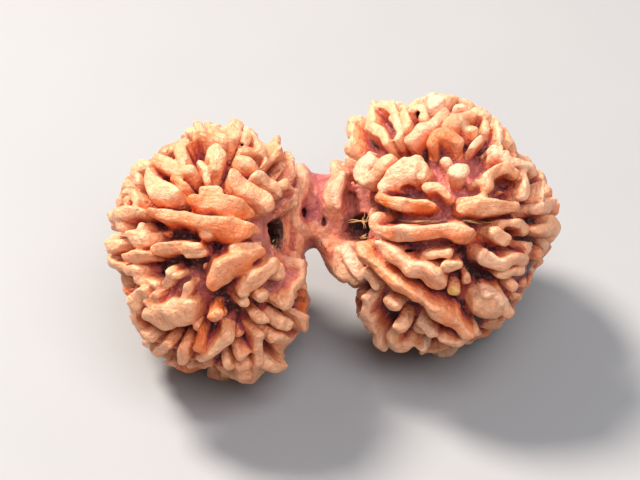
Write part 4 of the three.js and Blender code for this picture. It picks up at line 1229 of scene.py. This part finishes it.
def buildFibres():
    # Dried fibres: thin round tubes along short bent runs, laid just above the valley floor.
    rng = np.random.default_rng(fibreSet["seed"])
    shells = []
    for seed, middle, spread, count, way, veer, length in fibreSet["patches"]:
        for _ in range(count):
            spot = np.array(middle) + rng.normal(0, 1, 2) * spread
            turn = math.radians(way + rng.normal(0, veer))
            bend = rng.normal(0, fibreSet["bend"])
            reach = length * rng.uniform(*fibreSet["lengths"])
            t = np.linspace(-0.5, 0.5, fibreSet["points"])[:, None] * reach
            ahead = np.array([math.cos(turn), math.sin(turn)])
            aside = np.array([-ahead[1], ahead[0]])
            chart = spot + t * ahead + bend * np.sin(t * fibreSet["curl"]) * aside
            half = reliefHalf(seed, np.full(len(t), rng.uniform(*fibreSet["tall"])))
            radius = fibreSet["radius"] * rng.uniform(*fibreSet["radii"])
            shells.append(tubeAlong(seenPoints(seed, half, chart), radius))
    verts, faces = joinShells(shells)
    fibres = meshObject("dried_fibres", verts * metresPerMm, faces)
    fibres.data.shade_smooth()
    return fibres


def tubeAlong(points, radius):
    # A ring of equal points carried along a path; its radius follows a sine and is small at both ends.
    tangents = unit(np.gradient(points, axis=0))
    sideways = unit(np.cross(tangents, viewBack))
    other = np.cross(sideways, tangents)
    turn = np.linspace(0, 2 * math.pi, fibreSet["sides"], endpoint=False)[None, :, None]
    taper = np.linspace(fibreSet["endAngle"], math.pi - fibreSet["endAngle"], len(points))
    ring = np.cos(turn) * sideways[:, None] + np.sin(turn) * other[:, None]
    return closeTube(points[:, None] + ring * np.sin(taper)[:, None, None] * radius)


def fibreMaterial():
    # Straw colour with a darker, browner patchiness along each fibre.
    bench = NodeBench("dried_fibre")
    place = bench.node("ShaderNodeTexCoord").outputs["Object"]
    bump = bench.node("ShaderNodeBump", {"Height": bench.noise(place, *fibreLook["grain"]),
                                         "Distance": fibreLook["bump"]})
    bench.finish({"Base Color": bench.ramp(bench.noise(place, *fibreLook["patches"]), fibreLook["tones"]),
                  "Roughness": fibreLook["roughness"], "Normal": bump.outputs["Normal"]})
    return bench.material


def placeCamera():
    camera = bpy.data.objects.new("camera", bpy.data.cameras.new("camera"))
    camera.data.sensor_width = viewSet["sensor"]
    camera.data.lens = viewSet["sensor"] * viewSet["distance"] / viewSet["frameWidth"]
    camera.data.clip_start = 0.01
    bpy.context.scene.collection.objects.link(camera)
    camera.matrix_world = placedAt(eye, viewRight, viewUp, viewBack)
    bpy.context.scene.camera = camera


def placedAt(place, axisX, axisY, axisZ):
    # The matrix that turns a thing's axes to these and puts it at a place given in mm.
    grid = np.eye(4)
    grid[:3, :3] = np.stack([axisX, axisY, axisZ], -1)
    grid[:3, 3] = place * metresPerMm
    return Matrix(grid.tolist())


floorSet = {"half": 1.5, "tones": ((150, 149, 147), (155, 154, 152)), "patches": (60, 2), "roughness": 0.7}


def layFloor():
    # A wide plain square at the resting plane.
    half = floorSet["half"]
    corners = np.array([[-half, -half, 0], [half, -half, 0], [half, half, 0], [-half, half, 0]])
    floor = meshObject("floor", corners, np.array([[0, 1, 2, 3]]))
    bench = NodeBench("pale_floor")
    place = bench.node("ShaderNodeTexCoord").outputs["Object"]
    first, second = (tone(*values) for values in floorSet["tones"])
    shade = bench.mix(bench.noise(place, *floorSet["patches"]), first, second)
    bench.finish({"Base Color": shade, "Roughness": floorSet["roughness"]})
    floor.data.materials.append(bench.material)


lampSet = {
    # name: (right, up, towards the camera) in mm from the bead, width in mm, watts, tone
    "key": ((-130, 240, 90), 80, 1.68, (255, 248, 243)),
    "front": ((60, 120, 300), 240, 1.02, (244, 246, 255)),
    "back": ((60, 160, -260), 160, 0.3, (255, 250, 244)),
}
lampAim = np.array([0.0, 0.0, 9.8])
worldSet = {"strength": 0.36, "tone": (236, 238, 244)}


def hangLamps():
    # Round soft lamps that face the bead, and an even pale world.
    for name, (offset, width, watts, colour) in lampSet.items():
        lamp = bpy.data.objects.new(name, bpy.data.lights.new(name, "AREA"))
        lamp.data.shape, lamp.data.size = "DISK", width * metresPerMm
        lamp.data.energy, lamp.data.color = watts, tone(*colour)[:3]
        away = offset[0] * viewRight + offset[1] * viewUp + offset[2] * viewBack
        aimZ = unit(away)
        aimX = unit(np.cross((0.0, 0.0, 1.0), aimZ))
        lamp.matrix_world = placedAt(lampAim + away, aimX, np.cross(aimZ, aimX), aimZ)
        bpy.context.scene.collection.objects.link(lamp)
    world = bpy.data.worlds.new("studio")
    world.use_nodes = True
    background = world.node_tree.nodes["Background"]
    background.inputs["Color"].default_value = tone(*worldSet["tone"])
    background.inputs["Strength"].default_value = worldSet["strength"]
    bpy.context.scene.world = world
    bpy.context.scene.view_settings.view_transform = "Standard"


placeCamera()
print("camera placed")
allCrests = gatherCrests()
stone = buildBead(allCrests)
dressBead(stone, allCrests)
stone.data.materials.clear()
stone.data.materials.append(stoneMaterial())
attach(stone, "root")
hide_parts(beadNode)
print("bead built:", len(stone.data.polygons), "faces")
strands = buildFibres()
strands.data.materials.append(fibreMaterial())
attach(strands, "root")
print("fibres laid")
layFloor()
hangLamps()
print("stage set")
